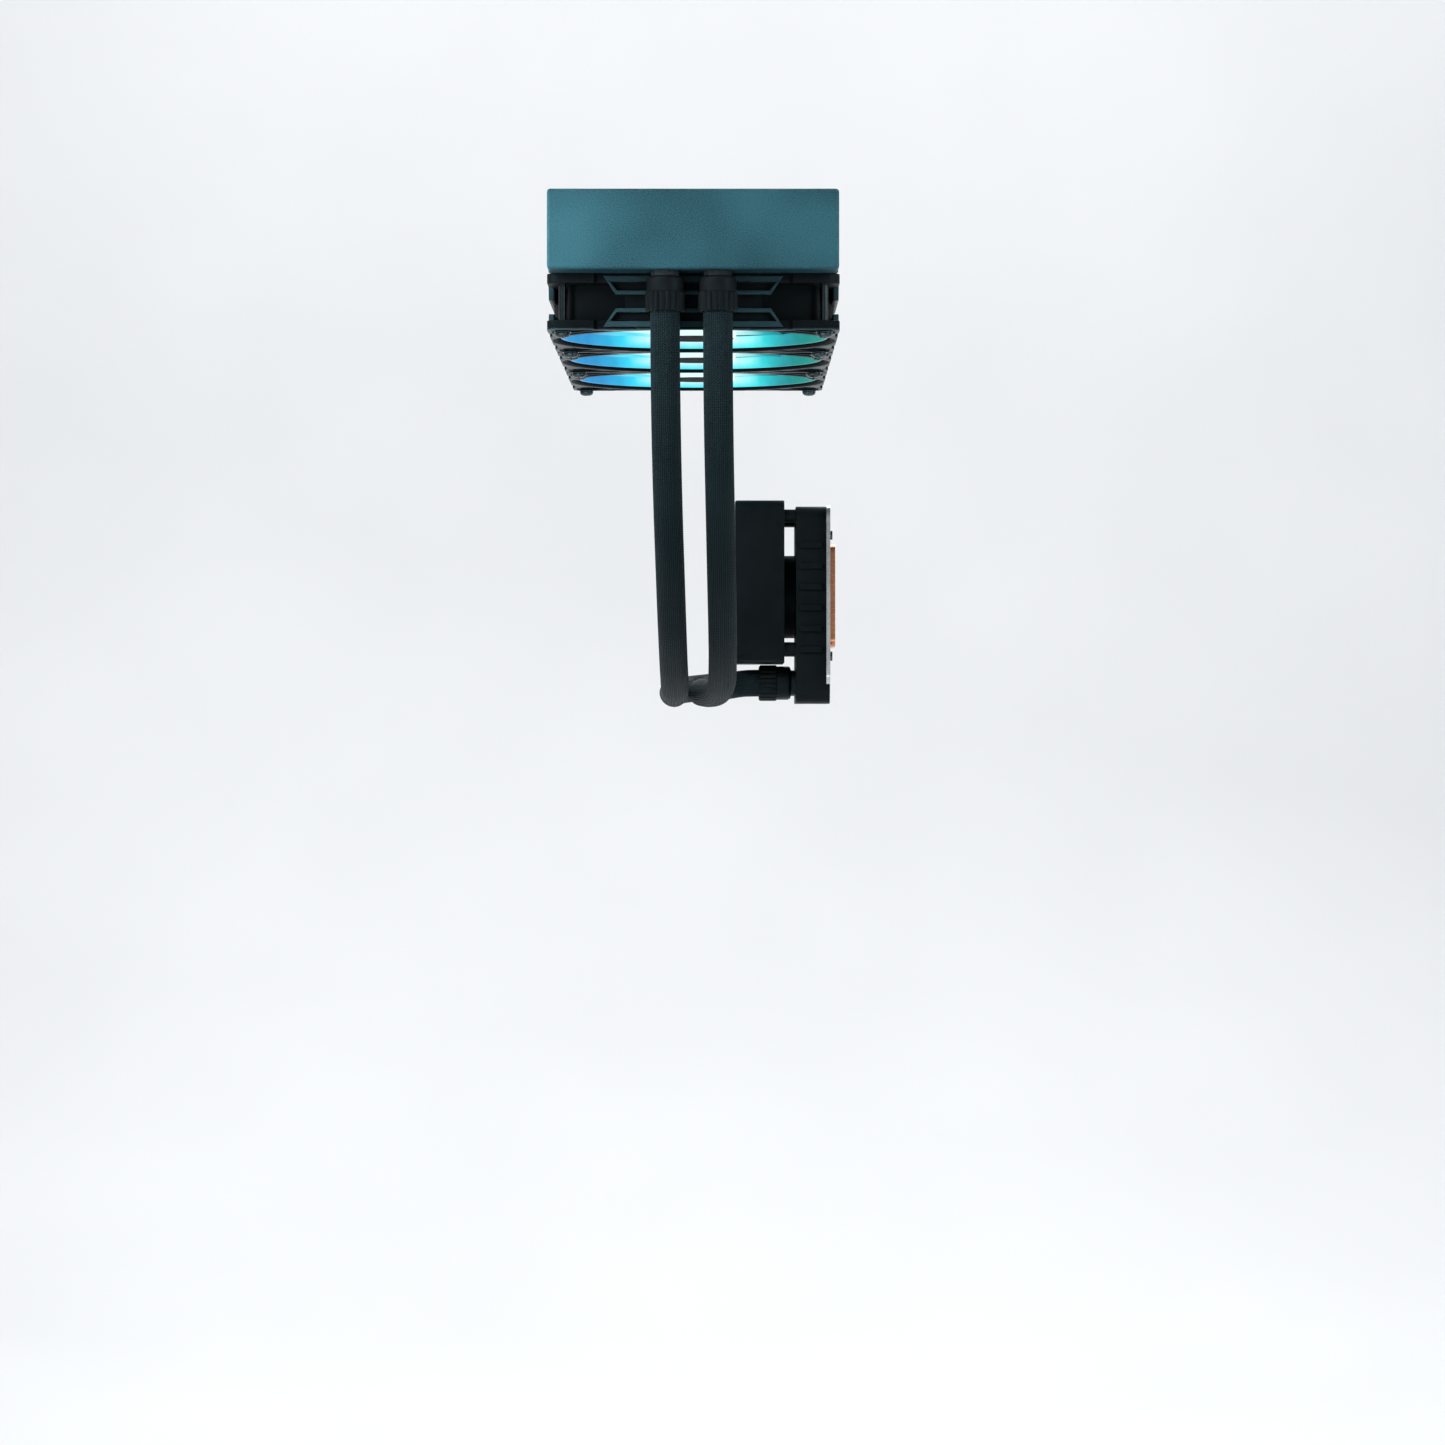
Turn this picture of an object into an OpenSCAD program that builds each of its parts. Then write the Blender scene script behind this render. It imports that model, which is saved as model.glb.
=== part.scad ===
// All-in-one liquid cooler: a 420 mm radiator with three 140 mm fans under it, two braided
// hoses, and a pump block with its cold plate.
//
// Frame: the origin is the middle of the radiator's top mounting face. +Z is up, out of the
// top face. +Y runs along the radiator, from the hose tank at the front to the far tank.
// +X is the way the cold plate looks. Millimetres.

/* [Radiator] */
// Width of the radiator across X
rad_w = 138; // [137:0.5:144]
// Thickness of the radiator along Z
rad_t = 38; // [34:1:42]
// Depth of the tank that carries the hoses
front_tank_d = 21; // [18:1:26]
// Depth of the far tank
rear_tank_d = 17; // [12:1:22]
// Wall of both tanks
tank_wall = 1.6; // [1.2:0.1:2]
// Number of flat coolant tubes
tube_count = 14; // [10:1:16]
// Thickness of a flat tube across X
tube_t = 2; // [1.6:0.1:2.4]
// Depth of the tubes and fins along Z
core_t = 28; // [26:1:29]
// Pitch of the folds in a fin strip
fin_pitch = 7; // [6:0.5:10]

/* [Fans] */
// Side of a fan frame, and the distance from one fan to the next
fan_size = 140; // [139:0.5:141]
// Thickness of a fan frame
fan_t = 27; // [26:0.5:28]
// Distance between the screw holes along a side
screw_span = 125; // [124:0.5:126]
// Thickness of a frame's two flanges
flange_t = 4.7; // [4:0.1:5.5]
// Radius of the air duct
duct_r = 67; // [66:0.1:67.2]
// Radius of the rotor's outer ring
rotor_r = 65.6; // [64:0.1:65.7]
// Radius of the rotor's hub
hub_r = 20.6; // [20:0.1:22]
// How far the rotor sits inside the intake face
intake_recess = 1.3; // [1:0.1:2]
// Number of blades
blade_count = 7; // [5:1:7]
// Angle of the blades to the plane of the fan
blade_angle = 20; // [14:1:21]

/* [Hoses] */
// Outer diameter of the braided hose
hose_d = 14; // [12:0.5:14]
// Distance from one hose to the other at the radiator
port_pitch = 25; // [22:0.5:28]
// Sideways place of the middle between the two hoses at the radiator
port_x = -0.8; // [-2:0.1:2]
// Diameter of the smooth collar of a hose end
collar_d = 17.6; // [16:0.1:18]
// Diameter of the fluted nut of a hose end
nut_d = 19; // [18:0.1:19]
// Number of flutes round the nut
flute_count = 20; // [12:1:24]

/* [Pump block] */
// Length of the pump base along Z
base_l = 104; // [100:1:104]
// Width of the pump base along Y
base_w = 74; // [70:1:76]
// Width of the cover along Y
cover_w = 78; // [76:1:80]
// Depth of the cover along X
cover_d = 26; // [24:0.5:26]
// Wall of the cover
cover_wall = 2; // [1.6:0.1:2.4]
// Side of the small board-cooling fan
small_fan_size = 60; // [58:1:60]
// Side of the cold plate
plate_size = 54; // [50:1:56]
// Distance between the mounting holes, along Y and along Z
mount_span = 78; // [75:0.5:78]

/* [Hidden] */
$fn = 64;
eps = 0.01;

// Radiator, worked out from the fans and the tanks
core_l = 3 * fan_size;
core_y = core_l / 2;
front_y = -core_y - front_tank_d;
rear_y = core_y + rear_tank_d;
rail_t = 1.2;
rail_lip = 12;
collar_h = 1.8;
collar_r = 2.9;
header_t = 1.6;
divider_t = 1.5;
tank_round = 1.5;
m3_r = 1.5;
core_top = -(rad_t - core_t) / 2;
core_w = rad_w - 2 * rail_t;
fin_w = (core_w - tube_count * tube_t) / (tube_count + 1);
tube_wall = 0.35;
tube_reach = 1;
fin_sheet = 0.8;
plug_r = 6.4;
plug_hole_r = plug_r - 1.4;
plug_head_h = 2;
plug_z = -rad_t / 2;
hex_d = 5.8;

// Fans, worked out from the frame
fan_top = -rad_t;
fan_bottom = fan_top - fan_t;
corner_r = 6;
hole_r = 2.15;
post_half = 60.3;
post_r = 7;
barrel_r = duct_r + 1.6;
base_t = 3.2;
motor_r = hub_r + 0.9;
tube_out_r = 4.7;
bearing_r = 3.5;
shaft_r = 1.5;
run_gap = 0.03;
cup_wall = 1.6;
hub_low = -fan_t + intake_recess;
hub_high = -base_t - 2;
plate_t = 0.8;
magnet_t = 2.2;
board_t = 1.2;
led_count = 12;
ring_wall = 1.3;
ring_h = 6;
blade_t = 1.6;
blade_sector = 54;
screw_r = 1.75;
washer_r = 4.1;
washer_bore_r = 1.9;
washer_t = 0.8;
head_r = 3.6;
head_h = 2.5;
screw_l = 30;
cross = [4, 0.9, 1.4];
tube_end = -19.5;
stator_end = -18.5;
stator_h = 10;
magnet_end = -21;
magnet_h = 12;
flare = 1.5;
strut_w = 4;
strut_count = 5;
strut_turn = 18;
led = [2.8, 2.8, 1.4];
led_r = 15.3;
pocket_depth = 2.2;

// Hose ends
neck_r = 6.75;
neck_h = 2.6;
collar_l = 7.5;
nut_l = 9.3;
bore_r = 2.6;
barb_r = 4;
crest_r = 4.6;
end_l = neck_h + collar_l + nut_l;
hose_side = [-port_pitch / 2, port_pitch / 2];
port_y = -core_y - front_tank_d / 2;

// Pump block: centre of the processor's mounting pattern, and places along X
cpu_y = 69;
cpu_z = -185;
plate_x = 73.5;
base_x1 = 70.5;
base_x0 = 52.7;
base_z0 = -242;
pump_port_z = -231;
pump_port_y = [53, 86];
cover_x0 = 20.5;
cover_z0 = -220.7;
cover_z1 = -134.9;
can_x0 = 38.7;
volute_r = 17;
chamber = 34;
bar_t = 2;
bar_w = 22;
small_fan_t = 11;
small_fan_x = cover_x0 + cover_wall;
small_fan_z = -178;
small_base_t = 1.4;
m25_r = 1.25;
sink_r = 2.6;
sink_h = 1.5;
sink_gap = 0.1;
fin_count = 14;
fin_field = 28;
fin_step = 2.1;
plate_fin_t = 0.8;
plate_fin_h = 3;
small_hub_r = 11;
small_bore_r = 2.4;
small_boss_r = small_bore_r - 0.2;
small_duct_r = small_fan_size / 2 - 1.6;

// Routes of the two hoses, from the radiator's nuts to the pump block's nuts
LEFT_ROUTE = [
    [-13.3, -220.5, -57.4], [-13.2, -219.5, -85], [-12.8, -212, -118],
    [-12.2, -195, -150], [-11.4, -173, -180], [-10.8, -144, -205],
    [-10.4, -113, -222], [-10.2, -82, -232], [-10.4, -50, -236],
    [-11, -15, -237], [-12, 18, -236.5], [-11.6, 41, -236],
    [-5.7, 63.5, -234.5], [10.8, 80, -232.5], [22, 85, -231.3],
    [33.3, 86, -231]
];
RIGHT_ROUTE = [
    [11.7, -220.5, -57.4], [11.8, -219.5, -85], [12.2, -212, -118],
    [12.8, -195, -150], [13.4, -173, -180], [13.9, -144, -205],
    [14, -113, -222], [13.5, -82, -232], [11.5, -50, -236],
    [7.5, -18, -237], [3.8, 10, -236.5], [3, 26, -236],
    [7.5, 39, -234.5], [17.5, 49, -232.5], [25.5, 52.5, -231.3],
    [33.3, 53, -231]
];

// ---- Shared shapes ----

// A cylinder along X, from x0 to x1, round the line at y, z
module x_rod(x0, x1, r, y = cpu_y, z = cpu_z) {
    translate([x0, y, z]) rotate([0, 90, 0]) cylinder(h = x1 - x0, r = r);
}

// A block between two opposite corners
module block(low, high) {
    translate(low) cube(high - low);
}

// A rectangle with round corners, centred
module round_rect(w, l, r) {
    square([w - 2 * r, l], center = true);
    square([w, l - 2 * r], center = true);
    for (x = [-1, 1], y = [-1, 1])
        translate([x * (w / 2 - r), y * (l / 2 - r)]) circle(r = r);
}

// A flat ring
module ring(h, r_out, r_in) {
    difference() {
        cylinder(h = h, r = r_out);
        translate([0, 0, -1]) cylinder(h = h + 2, r = r_in);
    }
}

// A plate with round corners that faces along X, centred on y, z
module x_plate(x0, x1, w, l, r, y = cpu_y, z = cpu_z) {
    translate([x0, y, z]) rotate([0, 90, 0]) linear_extrude(x1 - x0) round_rect(l, w, r);
}

// Places its children under each of the three fans, or under one of them
module at_fan(i) {
    translate([0, (i - 2) * fan_size, fan_top]) children();
}

module at_corners(span) {
    for (x = [-1, 1], y = [-1, 1]) translate([x * span / 2, y * span / 2, 0]) children();
}

// ---- Radiator ----

module tank(y0, depth) {
    // The outer edge is rounded, so the shape is drawn from the side and pushed along X
    translate([-rad_w / 2, y0, -rad_t])
        rotate([90, 0, 90])
            linear_extrude(rad_w) {
                translate([tank_round, 0]) square([depth - tank_round, rad_t]);
                translate([0, tank_round]) square([depth, rad_t - 2 * tank_round]);
                for (z = [tank_round, rad_t - tank_round])
                    translate([tank_round, z]) circle(r = tank_round);
            }
}

module tank_hollow(y0, y1) {
    block([-rad_w / 2 + tank_wall, y0, -rad_t + tank_wall], [rad_w / 2 - tank_wall, y1, -tank_wall]);
}

module front_tank() {
    color("#34474e") difference() {
        tank(front_y, front_tank_d);
        tank_hollow(front_y + tank_wall, -core_y + 1);
        for (x = hose_side)
            translate([port_x + x, port_y, -rad_t - 1]) cylinder(h = tank_wall + 2, r = barb_r);
    }
}

module rear_tank() {
    color("#34474e") difference() {
        mirror([0, 1, 0]) tank(-rear_y, rear_tank_d);
        tank_hollow(core_y - 1, rear_y - tank_wall);
        translate([0, rear_y + 1, plug_z])
            rotate([90, 0, 0]) cylinder(h = tank_wall + 2, r = plug_hole_r);
    }
}

// The plate that closes a tank, with a slot for each flat tube
module header(y0) {
    color("#9aa0a3") difference() {
        tank_hollow(y0, y0 + header_t);
        for (i = [1 : tube_count]) tube_solid(i, y0 - 1, y0 + header_t + 1, 0);
    }
}

module front_header() { header(-core_y); }

module rear_header() { header(core_y - header_t); }

module tank_divider() {
    color("#9aa0a3")
        block(
            [port_x - divider_t / 2, front_y + tank_wall, -rad_t + tank_wall],
            [port_x + divider_t / 2, -core_y - tube_reach, -tank_wall]
        );
}

function tube_x(i) = -core_w / 2 + i * fin_w + (i - 0.5) * tube_t;

module tube_solid(i, y0, y1, inset) {
    w = tube_t - 2 * inset;
    translate([tube_x(i), y0, core_top - core_t / 2])
        rotate([-90, 0, 0])
            linear_extrude(y1 - y0) {
                square([w, core_t - tube_t], center = true);
                for (z = [-1, 1]) translate([0, z * (core_t - tube_t) / 2]) circle(d = w);
            }
}

module flat_tubes() {
    end_y = core_y + tube_reach - header_t;
    color("#8b9093")
        for (i = [1 : tube_count])
            difference() {
                tube_solid(i, -end_y - header_t, end_y + header_t, 0);
                tube_solid(i, -core_y - 5, core_y + 5, tube_wall);
            }
}

// A folded strip between two tubes
module fin_strip(i) {
    folds = floor((core_l - 2 * header_t - 2) / fin_pitch);
    x0 = -core_w / 2 + i * (fin_w + tube_t);
    start = -folds * fin_pitch / 2;
    function edge(k, dx) = [(k % 2 == 0 ? 0 : fin_w - fin_sheet) + dx, start + k * fin_pitch / 2];
    outline = concat(
        [for (k = [0 : 2 * folds]) edge(k, 0)],
        [for (k = [2 * folds : -1 : 0]) edge(k, fin_sheet)]
    );
    translate([x0, 0, core_top - core_t]) linear_extrude(core_t) polygon(outline);
}

module fin_strips() {
    color("#202428") for (i = [0 : tube_count]) fin_strip(i);
}

// A folded steel channel with formed, threaded holes for the fans and for the case
module rail() {
    x_out = rad_w / 2;
    color("#15181b") difference() {
        union() {
            block([x_out - rail_t, -core_y, -rad_t], [x_out, core_y, 0]);
            for (z = [-rad_t, -rail_t])
                block([x_out - rail_lip, -core_y, z], [x_out - eps, core_y, z + rail_t]);
            rail_holes() {
                translate([0, 0, -rad_t + eps]) cylinder(h = rail_t + collar_h, r = collar_r);
                translate([0, 0, -rail_t - collar_h]) cylinder(h = rail_t + collar_h - eps, r = collar_r);
            }
        }
        rail_holes() {
            translate([0, 0, -rad_t - 1]) cylinder(h = rail_t + collar_h + 2, r = screw_r);
            translate([0, 0, -rail_t - collar_h - 1]) cylinder(h = rail_t + collar_h + 2, r = m3_r);
        }
    }
}

module rail_holes() {
    for (i = [1 : 3], y = [-1, 1])
        translate([screw_span / 2, (i - 2) * fan_size + y * screw_span / 2, 0]) children();
}

module left_rail() { mirror([1, 0, 0]) rail(); }

module right_rail() { rail(); }

// Screwed into the far tank; coolant was filled in here
module fill_plug() {
    color("#1c1f22") translate([0, rear_y, plug_z]) rotate([90, 0, 0]) {
        cylinder(h = tank_wall, r = plug_hole_r);
        translate([0, 0, -plug_head_h]) difference() {
            cylinder(h = plug_head_h, r = plug_r);
            translate([0, 0, -1]) cylinder(h = plug_head_h + 0.4, d = hex_d, $fn = 6);
        }
    }
}

// ---- Hose ends ----

// A spigot that stands on z = 0 and points up, with three barbs; the hose end sits on it
module spigot(inside) {
    barb_l = 4;
    difference() {
        union() {
            translate([0, 0, -inside]) cylinder(h = inside + end_l - 0.5, r = barb_r);
            cylinder(h = neck_h, r = neck_r);
            for (i = [0 : 2])
                translate([0, 0, neck_h + 2 + i * (barb_l + 0.6)])
                    cylinder(h = barb_l, r1 = crest_r, r2 = barb_r - eps);
        }
        translate([0, 0, -inside - 1]) cylinder(h = inside + end_l + 2, r = bore_r);
    }
}

// The collar and fluted nut that clamp the hose on its spigot
module sleeve() {
    round = 1.6;
    r = collar_d / 2;
    difference() {
        union() {
            translate([0, 0, neck_h]) rotate_extrude() {
                square([r - round, collar_l + eps]);
                translate([0, round]) square([r, collar_l - round + eps]);
                translate([r - round, round]) circle(r = round);
            }
            translate([0, 0, neck_h + collar_l]) linear_extrude(nut_l) difference() {
                circle(d = nut_d);
                for (i = [1 : flute_count])
                    rotate(i * 360 / flute_count) translate([nut_d / 2 + 0.35, 0]) circle(r = 0.95);
            }
        }
        translate([0, 0, -1]) cylinder(h = end_l + 2, r = crest_r);
    }
}

module at_radiator_ports() {
    for (x = hose_side)
        translate([port_x + x, port_y, -rad_t]) rotate([180, 0, 0]) children();
}

module at_pump_ports() {
    for (y = pump_port_y)
        translate([base_x0, y, pump_port_z]) rotate([0, -90, 0]) children();
}

module radiator_spigots() {
    color("#17191b") at_radiator_ports() spigot(tank_wall + 1);
}

module radiator_sleeves() {
    color("#141618") at_radiator_ports() sleeve();
}

module pump_spigots() {
    color("#17191b") at_pump_ports() spigot(4);
}

module pump_sleeves() {
    color("#141618") at_pump_ports() sleeve();
}

// ---- Hoses ----

HOSE_SIDES = 10;
HOSE_RINGS = 26;

// A smooth curve through the route's points, at t from 0 to the last point's index
function at(route, i) = route[max(0, min(len(route) - 1, i))];
function on_route(route, t) =
    let (
        i = min(floor(t), len(route) - 2),
        f = t - i,
        p = at(route, i - 1), a = at(route, i), b = at(route, i + 1), q = at(route, i + 2)
    )
    a + f / 2 * (b - p + f * (2 * p - 5 * a + 4 * b - q + f * (3 * (a - b) + q - p)));

function unit(v) = v / norm(v);
function heading(route, t) =
    unit(on_route(route, min(t + 0.01, len(route) - 1)) - on_route(route, max(t - 0.01, 0)));

// The end rings lie square to the nuts
function ring_heading(route, k) =
    k == 0 ? [0, 0, -1] : k == HOSE_RINGS - 1 ? [1, 0, 0] :
    heading(route, k * (len(route) - 1) / (HOSE_RINGS - 1));

// Each ring's first direction is the last one's, turned as little as possible
function ring_sides(route, k, last) =
    let (h = ring_heading(route, k), side = unit(last - (last * h) * h))
    k == HOSE_RINGS - 1 ? [side] : concat([side], ring_sides(route, k + 1, side));

module swept_hose(route) {
    sides = ring_sides(route, 0, [1, 0, 0]);
    points = [
        for (k = [0 : HOSE_RINGS - 1])
            let (
                c = on_route(route, k * (len(route) - 1) / (HOSE_RINGS - 1)),
                u = sides[k],
                v = cross(ring_heading(route, k), u)
            )
            for (s = [0 : HOSE_SIDES - 1])
                c + hose_d / 2 * (cos(s * 360 / HOSE_SIDES) * u + sin(s * 360 / HOSE_SIDES) * v)
    ];
    walls = [
        for (k = [0 : HOSE_RINGS - 2], s = [0 : HOSE_SIDES - 1])
            let (a = k * HOSE_SIDES + s, b = k * HOSE_SIDES + (s + 1) % HOSE_SIDES)
            each [[a, a + HOSE_SIDES, b], [b, a + HOSE_SIDES, b + HOSE_SIDES]]
    ];
    first = [for (s = [0 : HOSE_SIDES - 1]) s];
    last = [for (s = [HOSE_SIDES - 1 : -1 : 0]) (HOSE_RINGS - 1) * HOSE_SIDES + s];
    polyhedron(points, concat(walls, [first], [last]));
}

module left_hose() { color("#1b2225") swept_hose(LEFT_ROUTE); }

module right_hose() { color("#1b2225") swept_hose(RIGHT_ROUTE); }

// ---- Fans: drawn with the radiator's face at z = 0 and the intake at -fan_t ----

// One wall's pocket at its middle: a raised rim with sloping ends, which narrows away from
// its flange. It is drawn for the upper flange, as an outline across the fan and down.
module pocket_outline(top_half, low_half, high, low) {
    polygon([[-top_half, high], [top_half, high], [low_half, low], [-low_half, low]]);
}

module pocket_pair(depth, top_half, low_half, high, low) {
    for (a = [0 : 90 : 270], flip = [0, 1])
        rotate([0, 0, a])
            translate([0, -fan_size / 2 + depth, -flip * fan_t])
                rotate([90, 0, 0])
                    linear_extrude(depth)
                        mirror([0, flip, 0]) pocket_outline(top_half, low_half, high, low);
}

module fan_frame() {
    color("#26292c") difference() {
        union() {
            difference() {
                union() {
                    for (z = [-fan_t, -flange_t])
                        translate([0, 0, z])
                            linear_extrude(flange_t) round_rect(fan_size, fan_size, corner_r);
                    translate([0, 0, -fan_t + 1]) cylinder(h = fan_t - 2, r = barrel_r);
                    translate([0, 0, -fan_t + 1])
                        linear_extrude(fan_t - 2) round_rect(2 * post_half, 2 * post_half, post_r);
                    pocket_pair(6, 42.8, 36.9, -1.4, -10.2);
                }
                translate([0, 0, -fan_t - 1]) cylinder(h = fan_t + 2, r = duct_r);
                translate([0, 0, -fan_t - eps])
                    cylinder(h = flare, r1 = duct_r + flare, r2 = duct_r);
                pocket_pair(pocket_depth, 39.7, 36.4, -4.1, -8.3);
            }
            for (i = [1 : strut_count])
                rotate([0, 0, strut_turn + i * 360 / strut_count])
                    translate([motor_r - 3, -strut_w / 2, -base_t])
                        cube([duct_r - motor_r + 4, strut_w, base_t]);
            translate([0, 0, -base_t]) cylinder(h = base_t, r = motor_r);
            translate([0, 0, tube_end]) cylinder(h = -tube_end - 1, r = tube_out_r);
        }
        translate([0, 0, tube_end - 1])
            cylinder(h = 1 - tube_end - base_t, r = bearing_r);
        at_corners(screw_span) translate([0, 0, -fan_t - 1]) cylinder(h = fan_t + 2, r = hole_r);
    }
}

// One flat, tilted blade, cut to a sector of the duct
module blade(r_in, r_out, z0, z1, angle) {
    far = r_out * 1.5;
    intersection() {
        translate([0, 0, z0]) difference() {
            cylinder(h = z1 - z0, r = r_out);
            translate([0, 0, -1]) cylinder(h = z1 - z0 + 2, r = r_in);
        }
        translate([0, 0, z0]) linear_extrude(z1 - z0)
            polygon([
                [0, 0],
                far * [cos(-blade_sector / 2), sin(-blade_sector / 2)],
                far * [1.1, 0],
                far * [cos(blade_sector / 2), sin(blade_sector / 2)]
            ]);
        translate([0, 0, (z0 + z1) / 2]) rotate([angle, 0, 0])
            translate([0, -far, -blade_t / 2]) cube([far, 2 * far, blade_t]);
    }
}

module fan_rotor() {
    cup_low = hub_low + plate_t;
    color("#dfeef0") {
        difference() {
            union() {
                translate([0, 0, hub_low]) cylinder(h = hub_high - hub_low, r = hub_r);
                for (i = [1 : blade_count])
                    rotate([0, 0, i * 360 / blade_count])
                        blade(
                            hub_r - 0.5, rotor_r - ring_wall / 2,
                            hub_low + 1, hub_high - 0.8, blade_angle
                        );
                translate([0, 0, hub_low + 0.2]) ring(ring_h, rotor_r, rotor_r - ring_wall);
            }
            translate([0, 0, hub_low - 1]) cylinder(h = plate_t + 1, r = hub_r - 1.2);
            translate([0, 0, cup_low + 2])
                difference() {
                    cylinder(h = fan_t, r = hub_r - cup_wall);
                    translate([0, 0, -1]) cylinder(h = 3, r = 3.2);
                }
            translate([0, 0, cup_low + 0.8]) cylinder(h = fan_t, r = shaft_r);
        }
    }
}

module fan_hub_plate() {
    color("#101214") translate([0, 0, hub_low]) cylinder(h = plate_t, r = hub_r - 1.2);
}

module fan_magnet() {
    r = hub_r - cup_wall;
    color("#5a5d60") translate([0, 0, magnet_end]) ring(magnet_h, r, r - magnet_t);
}

module fan_shaft() {
    low = hub_low + plate_t + 0.8;
    color("#c6cacc") translate([0, 0, low]) cylinder(h = -base_t - 0.6 - low, r = shaft_r);
}

module fan_bearing() {
    translate([0, 0, tube_end + 0.5]) ring(-tube_end - 0.8 - base_t, bearing_r, shaft_r + run_gap);
}

// A ring of poles round a bearing tube
module stator(h, r_in, r_out, poles) {
    root_r = r_in + 2.2;
    shoe = 2;
    difference() {
        union() {
            cylinder(h = h, r = root_r);
            for (i = [1 : poles])
                rotate([0, 0, i * 360 / poles]) {
                    translate([r_in + 0.5, -1.6, 0]) cube([r_out - r_in - 1, 3.2, h]);
                    translate([root_r + 1, -3.2, 1]) cube([r_out - shoe - root_r - 1.5, 6.4, h - 2]);
                }
            intersection() {
                ring(h, r_out, r_out - shoe);
                for (i = [1 : poles])
                    rotate([0, 0, i * 360 / poles])
                        translate([0, -r_out * 0.36, 0]) cube([r_out, r_out * 0.72, h]);
            }
        }
        translate([0, 0, -1]) cylinder(h = h + 2, r = r_in);
    }
}

module led_board() {
    translate([0, 0, -base_t - board_t]) ring(board_t, hub_r - 0.4, tube_out_r);
    for (i = [1 : led_count])
        rotate([0, 0, i * 360 / led_count])
            translate([led_r, -led.y / 2, -base_t - board_t - led.z]) cube(led + [0, 0, eps]);
}

module fan_bearings() {
    color("#b08d4a") for (i = [1 : 3]) at_fan(i) fan_bearing();
}

module fan_stators() {
    color("#9c5a2c")
        for (i = [1 : 3])
            at_fan(i) translate([0, 0, stator_end]) stator(stator_h, tube_out_r, 16.2, 6);
}

module led_boards() {
    color("#e8ebe6") for (i = [1 : 3]) at_fan(i) led_board();
}

module at_fan_holes() {
    for (i = [1 : 3])
        translate([0, (i - 2) * fan_size, fan_bottom]) at_corners(screw_span) children();
}

module fan_screws() {
    color("#17191c")
        at_fan_holes()
            translate([0, 0, -washer_t]) difference() {
                union() {
                    cylinder(h = screw_l, r = screw_r);
                    translate([0, 0, -head_h]) cylinder(h = head_h, r = head_r);
                }
                for (a = [0, 90])
                    rotate([0, 0, a])
                        translate([-cross.x / 2, -cross.y / 2, -head_h - 1]) cube(cross + [0, 0, 1]);
            }
}

module fan_washers() {
    color("#222528") at_fan_holes() translate([0, 0, -washer_t]) ring(washer_t, washer_r, washer_bore_r);
}

module fan_1_frame() { at_fan(1) fan_frame(); }

module fan_2_frame() { at_fan(2) fan_frame(); }

module fan_3_frame() { at_fan(3) fan_frame(); }

module fan_1_rotor() { at_fan(1) fan_rotor(); }

module fan_2_rotor() { at_fan(2) fan_rotor(); }

module fan_3_rotor() { at_fan(3) fan_rotor(); }

module fan_1_hub_plate() { at_fan(1) fan_hub_plate(); }

module fan_2_hub_plate() { at_fan(2) fan_hub_plate(); }

module fan_3_hub_plate() { at_fan(3) fan_hub_plate(); }

module fan_1_magnet() { at_fan(1) fan_magnet(); }

module fan_2_magnet() { at_fan(2) fan_magnet(); }

module fan_3_magnet() { at_fan(3) fan_magnet(); }

module fan_1_shaft() { at_fan(1) fan_shaft(); }

module fan_2_shaft() { at_fan(2) fan_shaft(); }

module fan_3_shaft() { at_fan(3) fan_shaft(); }

// ---- Pump block: everything is stacked along X, with the cold plate last ----

module cold_plate() {
    color("#b8683a") {
        difference() {
            x_plate(base_x1, plate_x, plate_size, plate_size, 4);
            at_plate_screws() {
                x_rod(base_x1 - 1, plate_x + 1, m25_r + eps, 0, 0);
                sunk_head(sink_gap);
            }
        }
        for (i = [0 : fin_count - 1])
            block(
                [base_x1 - plate_fin_h, cpu_y - fin_field / 2, cpu_z - fin_field / 2 + i * fin_step],
                [base_x1 + eps, cpu_y + fin_field / 2, cpu_z - fin_field / 2 + i * fin_step + plate_fin_t]
            );
    }
}

// A countersunk head that is flush with the cold plate's outer face
module sunk_head(gap) {
    translate([plate_x - sink_h, 0, 0])
        rotate([0, 90, 0]) cylinder(h = sink_h + gap / 10, r1 = m25_r + gap, r2 = sink_r + gap);
}

module at_plate_screws() {
    s = plate_size / 2 - 5.5;
    for (y = [-1, 1], z = [-1, 1]) translate([0, cpu_y + y * s, cpu_z + z * s]) children();
}

module cold_plate_screws() {
    color("#8d9194")
        at_plate_screws()
            difference() {
                union() {
                    x_rod(base_x1 - 8, plate_x - sink_h + eps, m25_r, 0, 0);
                    sunk_head(0);
                }
                x_rod(plate_x - 1, plate_x + 1, 0.9, 0, 0);
            }
}

module base_gasket() {
    color("#141414") difference() {
        x_plate(base_x1 - 1.5, base_x1, chamber + 8, chamber + 8, 5);
        x_plate(base_x1 - 2, base_x1 + 1, chamber + 4, chamber + 4, 3);
    }
}

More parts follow.
